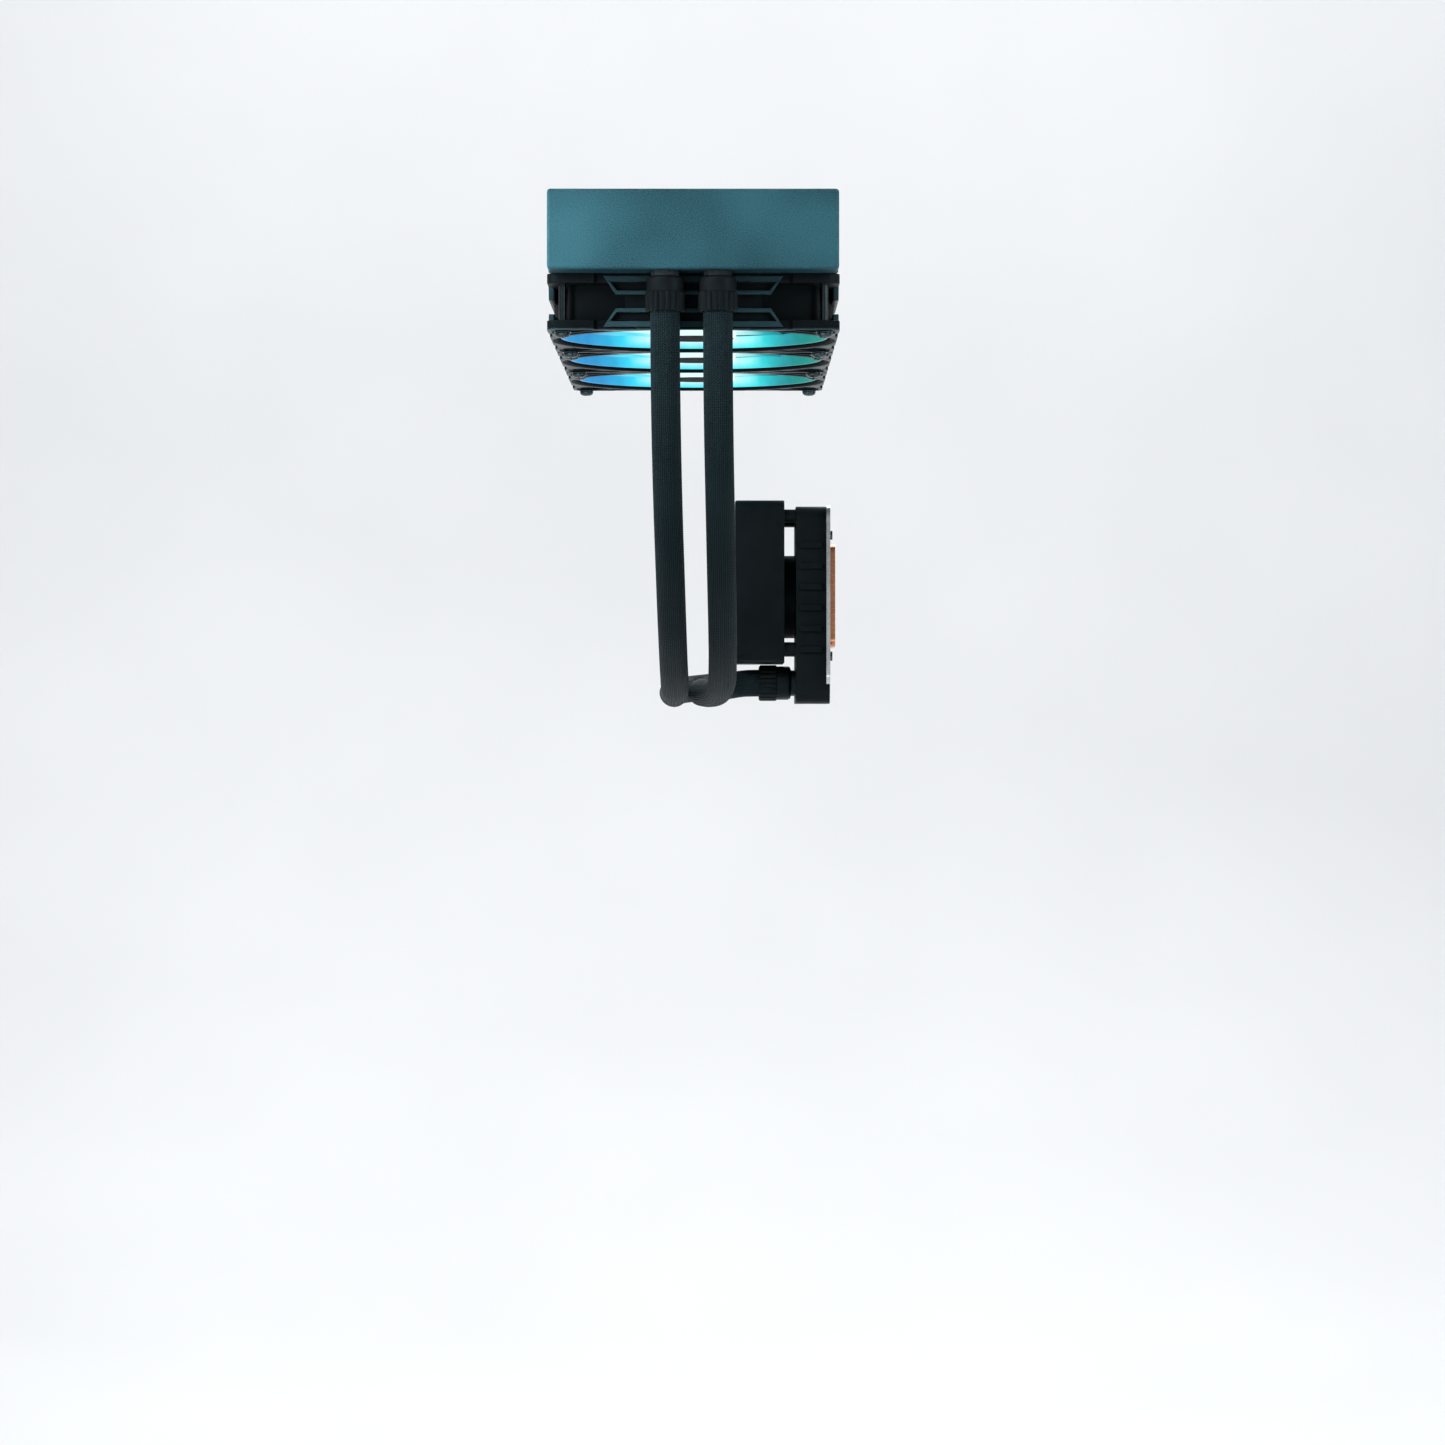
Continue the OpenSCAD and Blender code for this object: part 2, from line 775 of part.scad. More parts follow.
module pump_base() {
    mid_z = base_z0 + base_l / 2;
    color("#1d2022") difference() {
        union() {
            x_plate(base_x0, base_x1, base_w, base_l, 7, cpu_y, mid_z);
            // Cooling ribs down both long sides
            for (side = [-1, 1], i = [0 : 5])
                block(
                    [base_x0 + 2, cpu_y + side * base_w / 2 - 2, mid_z - 25 + i * 11],
                    [base_x1 - bar_t - 2, cpu_y + side * base_w / 2 + 2, mid_z - 22 + i * 11]
                );
        }
        // Pump housing, the jet's hole and the chamber over the cold plate
        x_rod(base_x0 - 1, base_x0 + 9.3, volute_r);
        x_rod(base_x0, base_x1, 4);
        x_plate(base_x1 - 5, base_x1 + 1, chamber, chamber, 3);
        difference() {
            x_plate(base_x1 - 1.5, base_x1 + 1, chamber + 8, chamber + 8, 5);
            x_plate(base_x1 - 2, base_x1 + 2, chamber + 4, chamber + 4, 3);
        }
        // Channels from the ports to the pump housing and to the chamber
        for (y = pump_port_y) x_rod(base_x0 - 1, base_x0 + 4, barb_r, y, pump_port_z);
        x_rod(base_x0 - 1, base_x0 + 8, 2.6, pump_port_y[0], pump_port_z);
        x_rod(base_x0 - 1, base_x1 - 2.5, 2.6, pump_port_y[1], pump_port_z);
        translate([base_x0 + 6, pump_port_y[0] + 1.5, pump_port_z])
            cylinder(h = cpu_z - pump_port_z, r = 2.4);
        translate([base_x1 - 3.6, pump_port_y[1] - 2.4, pump_port_z])
            cylinder(h = 32, r = 1.3);
        at_plate_screws() x_rod(base_x1 - 8, base_x1 + 1, m25_r, 0, 0);
        at_bars() bar_slab(0);
        at_bar_screws() x_rod(base_x1 - 9, base_x1, m25_r, 0, 0);
        at_cover_posts() x_rod(base_x0 - 1, base_x0 + 2.4, 3, 0, 0);
    }
}

module jet_plate() {
    color("#a9adb0") difference() {
        x_plate(base_x1 - 5, base_x1 - 4.2, chamber, chamber, 3);
        block([base_x1 - 6, cpu_y - 10, cpu_z - 1], [base_x1 - 3, cpu_y + 10, cpu_z + 1]);
    }
}

module pump_can() {
    cup_r = 11;
    color("#2b2e31") difference() {
        union() {
            x_rod(base_x0 - 2, base_x0, 22);
            x_rod(can_x0, base_x0 - 1, cup_r);
        }
        difference() {
            x_rod(can_x0 + 1.2, base_x0 + 1, cup_r - 1.2);
            x_rod(can_x0, can_x0 + 2.4, 2.6);
        }
        x_rod(can_x0 + 1.2, base_x0, shaft_r);
    }
}

module impeller() {
    color("#d9dcd6") difference() {
        union() {
            x_rod(base_x0 + 1.6, base_x0 + 3.2, 14);
            x_rod(can_x0 + 3, base_x0 + 3, 6);
            x_rod(base_x0 + 3, base_x0 + 7.6, 3.4);
            for (i = [1 : 6])
                translate([base_x0 + 3, cpu_y, cpu_z]) rotate([i * 60, 0, 0])
                    translate([0, 2.6, -0.6]) cube([4.4, 11, 1.2]);
        }
        x_rod(can_x0, base_x1, shaft_r + run_gap);
    }
}

module impeller_magnet() {
    color("#4a4d50") difference() {
        x_rod(can_x0 + 3.6, base_x0 - 0.4, 9.2);
        x_rod(can_x0, base_x0 + 2, 6);
    }
}

// Fixed in the can; its free end stands clear in the jet's hole
module impeller_shaft() {
    color("#e7e4da") x_rod(can_x0 + 1.2, base_x0 + 8.6, shaft_r);
}

module pump_stator() {
    color("#9c5a2c") translate([can_x0 + 1, cpu_y, cpu_z]) rotate([0, 90, 0]) stator(10.6, 11, 20, 6);
}

module motor_housing() {
    color("#202326") difference() {
        x_rod(can_x0, base_x0 - 2, 22);
        x_rod(can_x0 - 1, base_x0, 20);
    }
}

module pump_board() {
    color("#1f4a34") difference() {
        x_plate(can_x0 - 1.6, can_x0, 50, 50, 3);
        for (y = [-1, 1]) x_rod(can_x0 - 3, can_x0 + 1, 1.6, cpu_y + y * 21, cpu_z + 21);
    }
}

// The small fan blows from the cover's slots on to the board round the socket. It is drawn
// like the large fans, on its side, with its intake towards -X.
module at_small_fan() {
    translate([small_fan_x + small_fan_t, cpu_y, small_fan_z]) rotate([0, 90, 0]) children();
}

module small_fan_frame() {
    color("#1a1c1f") at_small_fan() difference() {
        union() {
            difference() {
                translate([0, 0, -small_fan_t])
                    linear_extrude(small_fan_t) round_rect(small_fan_size, small_fan_size, 5);
                translate([0, 0, -small_fan_t - 1]) cylinder(h = small_fan_t + 2, r = small_duct_r);
            }
            for (a = [0, 120, 240])
                rotate([0, 0, a + 30])
                    translate([8, -1.5, -small_base_t]) cube([small_duct_r - 7, 3, small_base_t]);
            translate([0, 0, -small_base_t]) cylinder(h = small_base_t, r = small_hub_r);
            translate([0, 0, -8]) cylinder(h = 7, r = 3.4);
        }
        translate([0, 0, -9]) cylinder(h = 9 - small_base_t, r = small_bore_r);
        at_corners(small_fan_size - 10)
            translate([0, 0, -small_fan_t - 1]) cylinder(h = small_fan_t + 2, r = 2);
    }
}

module small_fan_rotor() {
    low = -small_fan_t + 0.8;
    color("#2a2d30") at_small_fan() difference() {
        union() {
            translate([0, 0, low]) cylinder(h = small_fan_t - 2.6, r = small_hub_r);
            for (i = [1 : 7])
                rotate([0, 0, i * 360 / 7])
                    blade(small_hub_r - 0.5, small_duct_r - 0.8, low + 0.2, -2, 14);
        }
        translate([0, 0, low + 1.2]) difference() {
            cylinder(h = small_fan_t, r = small_hub_r - 1);
            translate([0, 0, -1]) cylinder(h = 2, r = small_boss_r);
        }
        translate([0, 0, low + 0.5]) cylinder(h = small_fan_t, r = 1);
    }
}

module small_fan_shaft() {
    low = -small_fan_t + 1.3;
    color("#c6cacc") at_small_fan() translate([0, 0, low]) cylinder(h = -1.8 - low, r = 1);
}

module small_fan_bearing() {
    color("#b08d4a") at_small_fan() translate([0, 0, -7.8]) ring(6.2, small_bore_r, 1 + run_gap);
}

module small_fan_stator() {
    color("#9c5a2c") at_small_fan() translate([0, 0, -7.6]) stator(5.4, 3.4, 9, 4);
}

module at_cover_posts() {
    for (y = [-1, 1], z = [-213, -143])
        translate([0, cpu_y + y * (cover_w / 2 - 6.5), z]) children();
}

// A shell that is open towards the base. Four posts carry it, and it lifts straight off.
module block_cover() {
    l = cover_z1 - cover_z0;
    mid_z = (cover_z0 + cover_z1) / 2;
    slot_pitch = 6;
    color("#16181a") {
        difference() {
            x_plate(cover_x0, cover_x0 + cover_d, cover_w, l, 4, cpu_y, mid_z);
            x_plate(
                cover_x0 + cover_wall, cover_x0 + cover_d + 1,
                cover_w - 2 * cover_wall, l - 2 * cover_wall, 2.4, cpu_y, mid_z
            );
            // Air slots in front of the small fan
            intersection() {
                for (i = [-4 : 4])
                    block(
                        [cover_x0 - 1, cpu_y - 30, small_fan_z + i * slot_pitch - 1.6],
                        [cover_x0 + cover_wall + 1, cpu_y + 30, small_fan_z + i * slot_pitch + 1.6]
                    );
                x_rod(cover_x0 - 1, cover_x0 + cover_wall + 1, 27, cpu_y, small_fan_z);
            }
        }
        difference() {
            at_cover_posts() x_rod(cover_x0 + cover_wall - eps, base_x0, 3.4, 0, 0);
            at_small_fan() translate([0, 0, -small_fan_t - 1])
                linear_extrude(small_fan_t + 2) round_rect(small_fan_size + 1, small_fan_size + 1, 5);
        }
    }
}

module cover_magnets() {
    color("#9da1a4") at_cover_posts() x_rod(base_x0, base_x0 + 2.4, 3, 0, 0);
}

// ---- Mounting bars ----

module at_bars() {
    for (side = [0, 1])
        translate([0, cpu_y, 0]) mirror([0, side, 0]) translate([0, mount_span / 2, 0]) children();
}

// Runs from outside the base to under its edge; drawn for the far side, round y = 0
module bar_slab(hole) {
    difference() {
        x_plate(base_x1 - bar_t, base_x1, bar_w, mount_span + 16, 5, -4, cpu_z);
        if (hole > 0)
            for (z = [-1, 1]) x_rod(base_x1 - bar_t - 1, base_x1 + 1, hole, 0, cpu_z + z * mount_span / 2);
    }
}

module at_bar_screws() {
    for (y = [-1, 1], z = [-1, 1])
        translate([0, cpu_y + y * (mount_span / 2 - 8.5), cpu_z + z * 32]) children();
}

module mounting_bars() {
    color("#8f9497") difference() {
        at_bars() bar_slab(2.15);
        at_bar_screws() x_rod(base_x1 - bar_t - 1, base_x1 + 1, m25_r, 0, 0);
    }
}

module bar_screws() {
    color("#8d9194") at_bar_screws() difference() {
        union() {
            x_rod(base_x1 - 9, base_x1 + eps, m25_r, 0, 0);
            x_rod(base_x1, base_x1 + 1.4, 2.5, 0, 0);
        }
        translate([base_x1 + 0.5, 0, 0]) rotate([0, 90, 0]) cylinder(h = 2, r = 1, $fn = 6);
    }
}

front_tank();
rear_tank();
front_header();
rear_header();
tank_divider();
flat_tubes();
fin_strips();
left_rail();
right_rail();
fill_plug();
radiator_spigots();
radiator_sleeves();
left_hose();
right_hose();
fan_1_frame();
fan_2_frame();
fan_3_frame();
fan_1_rotor();
fan_2_rotor();
fan_3_rotor();
fan_1_hub_plate();
fan_2_hub_plate();
fan_3_hub_plate();
fan_1_magnet();
fan_2_magnet();
fan_3_magnet();
fan_1_shaft();
fan_2_shaft();
fan_3_shaft();
fan_bearings();
fan_stators();
led_boards();
fan_screws();
fan_washers();
cold_plate();
cold_plate_screws();
base_gasket();
pump_base();
jet_plate();
impeller();
impeller_magnet();
impeller_shaft();
pump_can();
pump_stator();
motor_housing();
pump_board();
small_fan_frame();
small_fan_rotor();
small_fan_shaft();
small_fan_bearing();
small_fan_stator();
block_cover();
cover_magnets();
pump_spigots();
pump_sleeves();
mounting_bars();
bar_screws();
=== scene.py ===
"""Looks of a liquid cooler: a radiator with three fans, two braided hoses and a pump block.

Shapes are drawn in millimetres, and MM turns them into metres where an object is made.
"""
import math

import bmesh
import bpy
from mathutils import Matrix, Vector


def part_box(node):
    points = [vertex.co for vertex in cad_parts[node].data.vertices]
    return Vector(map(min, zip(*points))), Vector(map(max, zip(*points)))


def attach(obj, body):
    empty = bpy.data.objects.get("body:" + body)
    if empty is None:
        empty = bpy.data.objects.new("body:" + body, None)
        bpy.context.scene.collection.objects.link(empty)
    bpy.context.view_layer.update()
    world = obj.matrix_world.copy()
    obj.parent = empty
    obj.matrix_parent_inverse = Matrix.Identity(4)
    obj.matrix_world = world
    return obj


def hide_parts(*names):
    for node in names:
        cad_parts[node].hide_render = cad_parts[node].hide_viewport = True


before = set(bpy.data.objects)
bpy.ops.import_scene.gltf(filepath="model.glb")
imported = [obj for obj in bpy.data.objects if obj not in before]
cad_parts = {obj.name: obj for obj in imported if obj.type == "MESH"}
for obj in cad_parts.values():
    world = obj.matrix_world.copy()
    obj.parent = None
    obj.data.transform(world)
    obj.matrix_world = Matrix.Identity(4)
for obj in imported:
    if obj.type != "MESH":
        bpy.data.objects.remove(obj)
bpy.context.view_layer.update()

MM = 0.001
TAU = 2 * math.pi
ROOT = "radiator"

# ---- Camera ----

CAMERA_PLACE = (0.0139, -2.4855, -0.252)
CAMERA_LENS = 119.09
SENSOR_W = 36


def make_camera():
    """Level, square to the radiator's front tank, as far off as the photographer stood."""
    data = bpy.data.cameras.new("camera")
    data.lens = CAMERA_LENS
    data.sensor_width = SENSOR_W
    data.clip_end = 50
    camera = bpy.data.objects.new("camera", data)
    camera.location = CAMERA_PLACE
    camera.rotation_euler = (math.pi / 2, 0, 0)
    bpy.context.scene.collection.objects.link(camera)
    bpy.context.scene.camera = camera


make_camera()

# ---- Materials ----


class Finish:
    """A procedural material. Its methods add nodes and return their outputs."""

    def __init__(self, name, roughness=0.5, metallic=0.0, **uniform):
        self.material = bpy.data.materials.new(name)
        self.material.use_nodes = True
        self.tree = self.material.node_tree
        self.shader = self.tree.nodes["Principled BSDF"]
        self.shader.inputs["Roughness"].default_value = roughness
        self.shader.inputs["Metallic"].default_value = metallic
        for socket, value in uniform.items():
            self.shader.inputs[socket.replace("_", " ")].default_value = value

    def node(self, kind, settings=(), **inputs):
        made = self.tree.nodes.new("ShaderNode" + kind)
        for key, value in dict(settings).items():
            setattr(made, key, value)
        for key, value in inputs.items():
            socket = made.inputs[int(key[1:]) if key[0] == "i" and key[1:].isdigit() else key]
            if isinstance(value, bpy.types.NodeSocket):
                self.tree.links.new(value, socket)
            else:
                socket.default_value = value
        return made

    def math(self, operation, a, b=0.0, c=0.0):
        return self.node("Math", {"operation": operation}, i0=a, i1=b, i2=c).outputs[0]

    def place(self):
        """Object coordinates in millimetres."""
        coordinates = self.node("TexCoord").outputs["Object"]
        return self.node("VectorMath", {"operation": "SCALE"}, Vector=coordinates, Scale=1 / MM).outputs[0]

    def noise(self, size, detail=2.0, stretch=(1, 1, 1), vector=None):
        """Noise with lumps of about size millimetres."""
        if vector is None:
            vector = self.place()
        if stretch != (1, 1, 1):
            vector = self.node("Mapping", Vector=vector, Scale=stretch).outputs[0]
        return self.node("TexNoise", Vector=vector, Scale=1.0 / size, Detail=detail).outputs["Fac"]

    def ramp(self, value, stops):
        """Colours along a value; stops are (place, colour)."""
        made = self.node("ValToRGB", Fac=value)
        elements = made.color_ramp.elements
        while len(elements) < len(stops):
            elements.new(0.5)
        for element, (stop, colour) in zip(elements, stops):
            element.position = stop
            element.color = (*colour, 1)
        return made.outputs["Color"]

    def set(self, socket, value):
        self.tree.links.new(value, self.shader.inputs[socket])

    def gloss(self, value, smooth, rough):
        """Roughness that runs from smooth to rough with a value."""
        self.set("Roughness", self.node("MapRange", Value=value, i3=smooth, i4=rough).outputs[0])

    def bump(self, height, depth, strength=1.0, over=None, edges=0.0):
        """Relief of depth millimetres, over a normal or over edges rounded by that radius."""
        made = self.node("Bump", Strength=strength, Distance=depth * MM, Height=height)
        if edges:
            over = self.node("Bevel", {"samples": 4}, Radius=edges * MM).outputs[0]
        if over is not None:
            self.tree.links.new(over, made.inputs["Normal"])
        self.set("Normal", made.outputs[0])
        return made.outputs[0]


# Weak mirroring with a teal cast: the teal specular tint is a painted reflection of teal light
DULL_TEAL_PAINTED_REFLECTION = {"Specular_IOR_Level": 0.09, "Specular_Tint": (0.5, 0.88, 1.0, 1)}


def tone(colour, factor):
    return tuple(min(1.0, c * factor) for c in colour)


def greys(*stops):
    """Ramp stops of grey, from (place, value)."""
    return [(stop, (value, value, value)) for stop, value in stops]


def moulded(name, colour, roughness=0.5, grain=0.35, edges=0.0, **uniform):
    """Moulded plastic: fine spark-eroded grain, faint flow marks and uneven gloss."""
    f = Finish(name, roughness, **{**DULL_TEAL_PAINTED_REFLECTION, **uniform})
    flow = f.noise(18, 3)
    f.set("Base Color", f.ramp(flow, [(0.3, tone(colour, 0.8)), (0.7, tone(colour, 1.25))]))
    fine = f.noise(grain, 2)
    patches = f.noise(6, 2)
    f.gloss(patches, roughness - 0.07, roughness + 0.1)
    f.bump(fine, 0.03, 0.5, edges=edges)
    return f.material


def coated(name, colour, roughness=0.42, grain=0.55, edges=0.0, **uniform):
    """Textured powder coat: leathery grain that catches the light in specks."""
    f = Finish(name, roughness, **{**DULL_TEAL_PAINTED_REFLECTION, **uniform})
    place = f.place()
    cloud = f.noise(60, 2, vector=place)
    speck = f.noise(grain, 2, vector=place)
    cells = f.node("TexVoronoi", Vector=place, Scale=1 / (grain * 1.6)).outputs["Distance"]
    both = f.math("ADD", speck, f.math("MULTIPLY", cells, 0.5))
    mixed = f.math("ADD", f.math("MULTIPLY", cloud, 0.35), f.math("MULTIPLY", speck, 0.65))
    f.set("Base Color", f.ramp(mixed, [(0.37, tone(colour, 0.4)), (0.61, tone(colour, 1.7))]))
    f.gloss(speck, roughness - 0.1, roughness + 0.16)
    f.bump(both, 0.07, 0.7, edges=edges)
    return f.material


def metal(name, colour, roughness=0.3, brushed=(1, 1, 1), depth=0.01, edges=0.0, **uniform):
    """Bare metal with brushing that is long where brushed is small, and faint tarnish."""
    f = Finish(name, roughness, 1.0, **uniform)
    tarnish = f.noise(9, 3)
    lines = f.noise(0.4, 3, stretch=brushed)
    f.set("Base Color", f.ramp(tarnish, [(0.3, tone(colour, 0.82)), (0.7, tone(colour, 1.1))]))
    f.gloss(lines, roughness - 0.08, roughness + 0.14)
    f.bump(lines, depth, 0.5, edges=edges)
    return f.material


# The sleeve's width of a yarn column and length of a stitch
BRAID_PITCH = 1.0
STITCH = 1.25


def braided(name):
    """Black nylon sleeve: columns of slanted yarns; the UV map holds millimetres."""
    f = Finish(name, 0.46, **DULL_TEAL_PAINTED_REFLECTION)
    uv = f.node("UVMap").outputs[0]
    parts = f.node("SeparateXYZ", Vector=uv)
    column = f.math("DIVIDE", parts.outputs[0], BRAID_PITCH)
    across = f.math("FRACT", column)
    odd = f.math("GREATER_THAN", f.math("MODULO", f.math("FLOOR", column), 2.0), 0.5)
    slant = f.math("MULTIPLY", across, f.math("MULTIPLY_ADD", odd, 2.0, -1.0))
    along = f.math("MULTIPLY_ADD", parts.outputs[1], 1.0 / STITCH, slant)
    yarn = f.math("ABSOLUTE", f.math("SINE", f.math("MULTIPLY", along, math.pi)))
    crown = f.math("SINE", f.math("MULTIPLY", across, math.pi))
    relief = f.math("MULTIPLY", yarn, crown)
    dirt = f.noise(25, 3)
    # Painted shade and sheen: the colour is dark in the valleys between the yarns and teal on their
    # crowns, with random dirt tone mixed in
    painted_shade_sheen_and_dirt = f.math("MULTIPLY_ADD", relief, 0.75, f.math("MULTIPLY", dirt, 0.25))
    f.set("Base Color", f.ramp(painted_shade_sheen_and_dirt, [(0.15, (0.0015, 0.002, 0.0025)), (0.9, (0.014, 0.028, 0.033))]))
    f.gloss(relief, 0.62, 0.36)
    f.bump(relief, 0.3, 1.0)
    return f.material


# The rotor's radius, how far in front of the hub its light centres, and the run of its colours
GLOW_R = 65.6
GLOW_SHIFT = 10
GLOW_SPAN = 1.9 * GLOW_R
GLOW_LEAN = 0.25
HUES = [
    (0.0, (0.03, 0.28, 0.62)), (0.065, (0.031, 0.48, 0.80)), (0.12, (0.044, 0.745, 0.956)),
    (0.62, (0.05, 0.88, 0.90)), (0.70, (0.03, 0.58, 0.62)), (0.78, (0.019, 0.32, 0.36)),
    (0.88, (0.012, 0.26, 0.22)),
]
WHITE_LIGHT = (0.78, 1.0, 1.0, 1)
# The rim's share of the radius, its lower edge, and how far above that its painted glint fades in
RIM_START = 0.975
RIM_LOW = -25.5
RIM_FADE = 3.5


def glowing(name):
    """Milky plastic lit from the hub: white by the hub, green to blue across the fan."""
    f = Finish(name, 0.4, Specular_IOR_Level=0.2)
    place = f.place()
    parts = f.node("SeparateXYZ", Vector=place)
    x, y = parts.outputs[0], parts.outputs[1]
    near = f.math("ADD", y, GLOW_SHIFT)
    r = f.math("SQRT", f.math("ADD", f.math("MULTIPLY", x, x), f.math("MULTIPLY", y, y)))
    spread = f.math("SQRT", f.math("ADD", f.math("MULTIPLY", x, x), f.math("MULTIPLY", near, near)))
    lean = f.math("DIVIDE", f.math("SUBTRACT", x, f.math("MULTIPLY", y, GLOW_LEAN)), GLOW_SPAN)
    hue = f.ramp(f.math("ADD", lean, 0.5), HUES)
    far = f.math("DIVIDE", r, GLOW_R)
    hub = f.ramp(f.math("DIVIDE", spread, GLOW_R), greys((0.3, 1), (0.5, 0.6), (0.72, 0)))
    # A painted glint: the rim's inner wall is whitest where it is seen square on, above its lower edge
    facing = f.node("LayerWeight", Blend=0.5).outputs["Facing"]
    painted_rim_glint = f.ramp(facing, greys((0.05, 0.8), (0.09, 0.45), (0.16, 0)))
    above = f.node("MapRange", Value=parts.outputs[2], i1=RIM_LOW, i2=RIM_LOW + RIM_FADE).outputs[0]
    rim = f.math("MULTIPLY", f.math("GREATER_THAN", far, RIM_START), f.math("MULTIPLY", painted_rim_glint, above))
    white = f.math("MAXIMUM", hub, rim)
    colour = f.node("Mix", {"data_type": "RGBA"}, i0=white, i6=hue, i7=WHITE_LIGHT).outputs[2]
    power = f.ramp(far, greys((0.55, 1), (0.93, 0.72), (0.96, 0.7), (RIM_START, 1)))
    haze = f.noise(7, 2, vector=place)
    dim = f.math("MULTIPLY", power, f.math("MULTIPLY_ADD", haze, 0.3, 0.85))
    f.set("Base Color", f.ramp(haze, [(0.3, (0.02, 0.04, 0.045)), (0.7, (0.035, 0.06, 0.07))]))
    f.set("Emission Color", colour)
    f.set("Emission Strength", dim)
    f.bump(f.noise(0.5, 2, vector=place), 0.01, 0.3)
    return f.material


# Phase of the wire rows in a millimetre
WIRE_ROWS = 9.0


def wound(name):
    """Lacquered copper wire, wound in fine rows, with painted shade between the turns."""
    f = Finish(name, 0.28, 1.0, Coat_Weight=0.4)
    parts = f.node("SeparateXYZ", Vector=f.place())
    rows = f.math("ABSOLUTE", f.math("SINE", f.math("MULTIPLY", parts.outputs[2], WIRE_ROWS)))
    # Painted shade: the copper is dark between the turns and bright on their crowns
    f.set("Base Color", f.ramp(rows, [(0.0, (0.16, 0.05, 0.02)), (0.7, (0.62, 0.24, 0.09))]))
    f.bump(rows, 0.15, 0.9)
    return f.material


def circuit(name, ground, trace):
    """Solder mask with copper tracks that show through it."""
    f = Finish(name, 0.35, Coat_Weight=0.5)
    place = f.place()
    cells = f.node("TexVoronoi", {"distance": "MANHATTAN", "feature": "F1"}, Vector=place, Scale=0.35)
    lines = f.math("FRACT", f.math("MULTIPLY", cells.outputs[0], 4.0))
    f.set("Base Color", f.ramp(lines, [(0.35, ground), (0.5, trace)]))
    f.bump(lines, 0.03, 0.5)
    return f.material


# The tank's and seam's colour is partly the real dark slate paint and partly painted teal light
TEAL_COAT_AND_PAINTED_LIGHT = coated("tank_coat", (0.0122, 0.041, 0.053), 0.44, 0.42)
SEAM_COAT_AND_PAINTED_LIGHT = coated("seam_coat_and_painted_teal_light", (0.006, 0.020, 0.026), 0.5)
RAIL_COAT = coated("rail_coat", (0.007, 0.013, 0.016), 0.45)
TUBE_COAT = coated("tube_coat", (0.012, 0.016, 0.018), 0.5)
FIN_BLACK = metal("core_aluminium", (0.055, 0.06, 0.063), 0.45, (1, 1, 0.05), 0.03)
HEADER_METAL = metal("header_metal", (0.42, 0.45, 0.46), 0.4, (0.05, 1, 1))
SPIGOT_COAT = coated("spigot_coat", (0.010, 0.013, 0.014), 0.4, edges=0.3)
SLEEVE = moulded("sleeve_plastic", (0.0032, 0.0037, 0.0042), 0.42, 0.3, Specular_IOR_Level=0.14)
BRAID = braided("hose_braid")
FAN_PLASTIC = moulded("fan_plastic", (0.0030, 0.0036, 0.0042), 0.5)
# A lighter, teal copy of the fan plastic for the rims and bosses: a satin finish, with a painted highlight
# in its colour
FAN_RIM_PAINTED_LIGHT = moulded("fan_rim_satin_painted_light", (0.013, 0.030, 0.037), 0.36)
# A darker, matt copy of the fan plastic for the pads, barrel, corner posts and wall pockets: a matt
# finish, with painted shade in these recesses
FAN_MATT_PAINTED_SHADE = moulded("fan_matt_painted_shade", (0.002, 0.0026, 0.003), 0.65, Specular_IOR_Level=0.08)
GLOW = glowing("rotor_glow")
HUB_PLATE = moulded("hub_plate", (0.003, 0.006, 0.008), 0.7, edges=0.2, Specular_IOR_Level=0.05)
MAGNET = metal("magnet", (0.10, 0.105, 0.11), 0.5, depth=0.02, edges=0.2)
BARE_STEEL = metal("bare_steel", (0.62, 0.64, 0.65), 0.24, (1, 1, 8), 0.008, edges=0.1)
SCREW_STEEL = metal("screw_steel", (0.06, 0.085, 0.093), 0.22, depth=0.006)
BRONZE = metal("bearing_bronze", (0.56, 0.38, 0.16), 0.35, depth=0.015, edges=0.1)
COIL = wound("coil_copper")
LED_BOARD = circuit("led_board", (0.62, 0.66, 0.62), (0.40, 0.44, 0.42))
COPPER = metal("copper", (0.68, 0.29, 0.15), 0.22, (0.04, 1, 1), 0.012, edges=0.25)
RUBBER = moulded("seal_rubber", (0.008, 0.008, 0.008), 0.75, 0.6, edges=0.2)
PUMP_PLASTIC = moulded("pump_plastic", (0.0040, 0.0048, 0.0055), 0.46, edges=0.5)
COVER_PLASTIC = moulded("cover_plastic", (0.0034, 0.0042, 0.0048), 0.4)
IMPELLER = moulded("impeller_plastic", (0.55, 0.56, 0.52), 0.4, edges=0.2)
CERAMIC = moulded("ceramic_shaft", (0.78, 0.76, 0.70), 0.15, edges=0.1, Coat_Weight=0.6)
GREEN_BOARD = circuit("circuit_board", (0.010, 0.060, 0.035), (0.030, 0.150, 0.080))

# ---- Shapes: closed meshes in millimetres ----


def arc(x, y, r, start, end, steps):
    """Points on an arc; angles are in degrees."""
    turns = [math.radians(start + (end - start) * i / steps) for i in range(steps + 1)]
    return [(x + r * math.cos(a), y + r * math.sin(a)) for a in turns]


def circle(x, y, r, steps=48):
    return arc(x, y, r, 0, 360, steps)[:-1]


def round_rect(w, l, r, steps=6):
    """A rectangle's outline with round corners, round the origin."""
    corners = [(1, 1, 0), (-1, 1, 90), (-1, -1, 180), (1, -1, 270)]
    points = []
    for x, y, turn in corners:
        points += arc(x * (w / 2 - r), y * (l / 2 - r), r, turn, turn + 90, steps)
    return points


def turned(points, turn):
    """Points turned round the origin, by radians."""
    c, s = math.cos(turn), math.sin(turn)
    return [(x * c - y * s, x * s + y * c) for x, y in points]


def signed_area(ring):
    """The area inside a ring, positive where it runs anticlockwise."""
    return sum(a[0] * b[1] - b[0] * a[1] for a, b in zip(ring, ring[1:] + ring[:1])) / 2


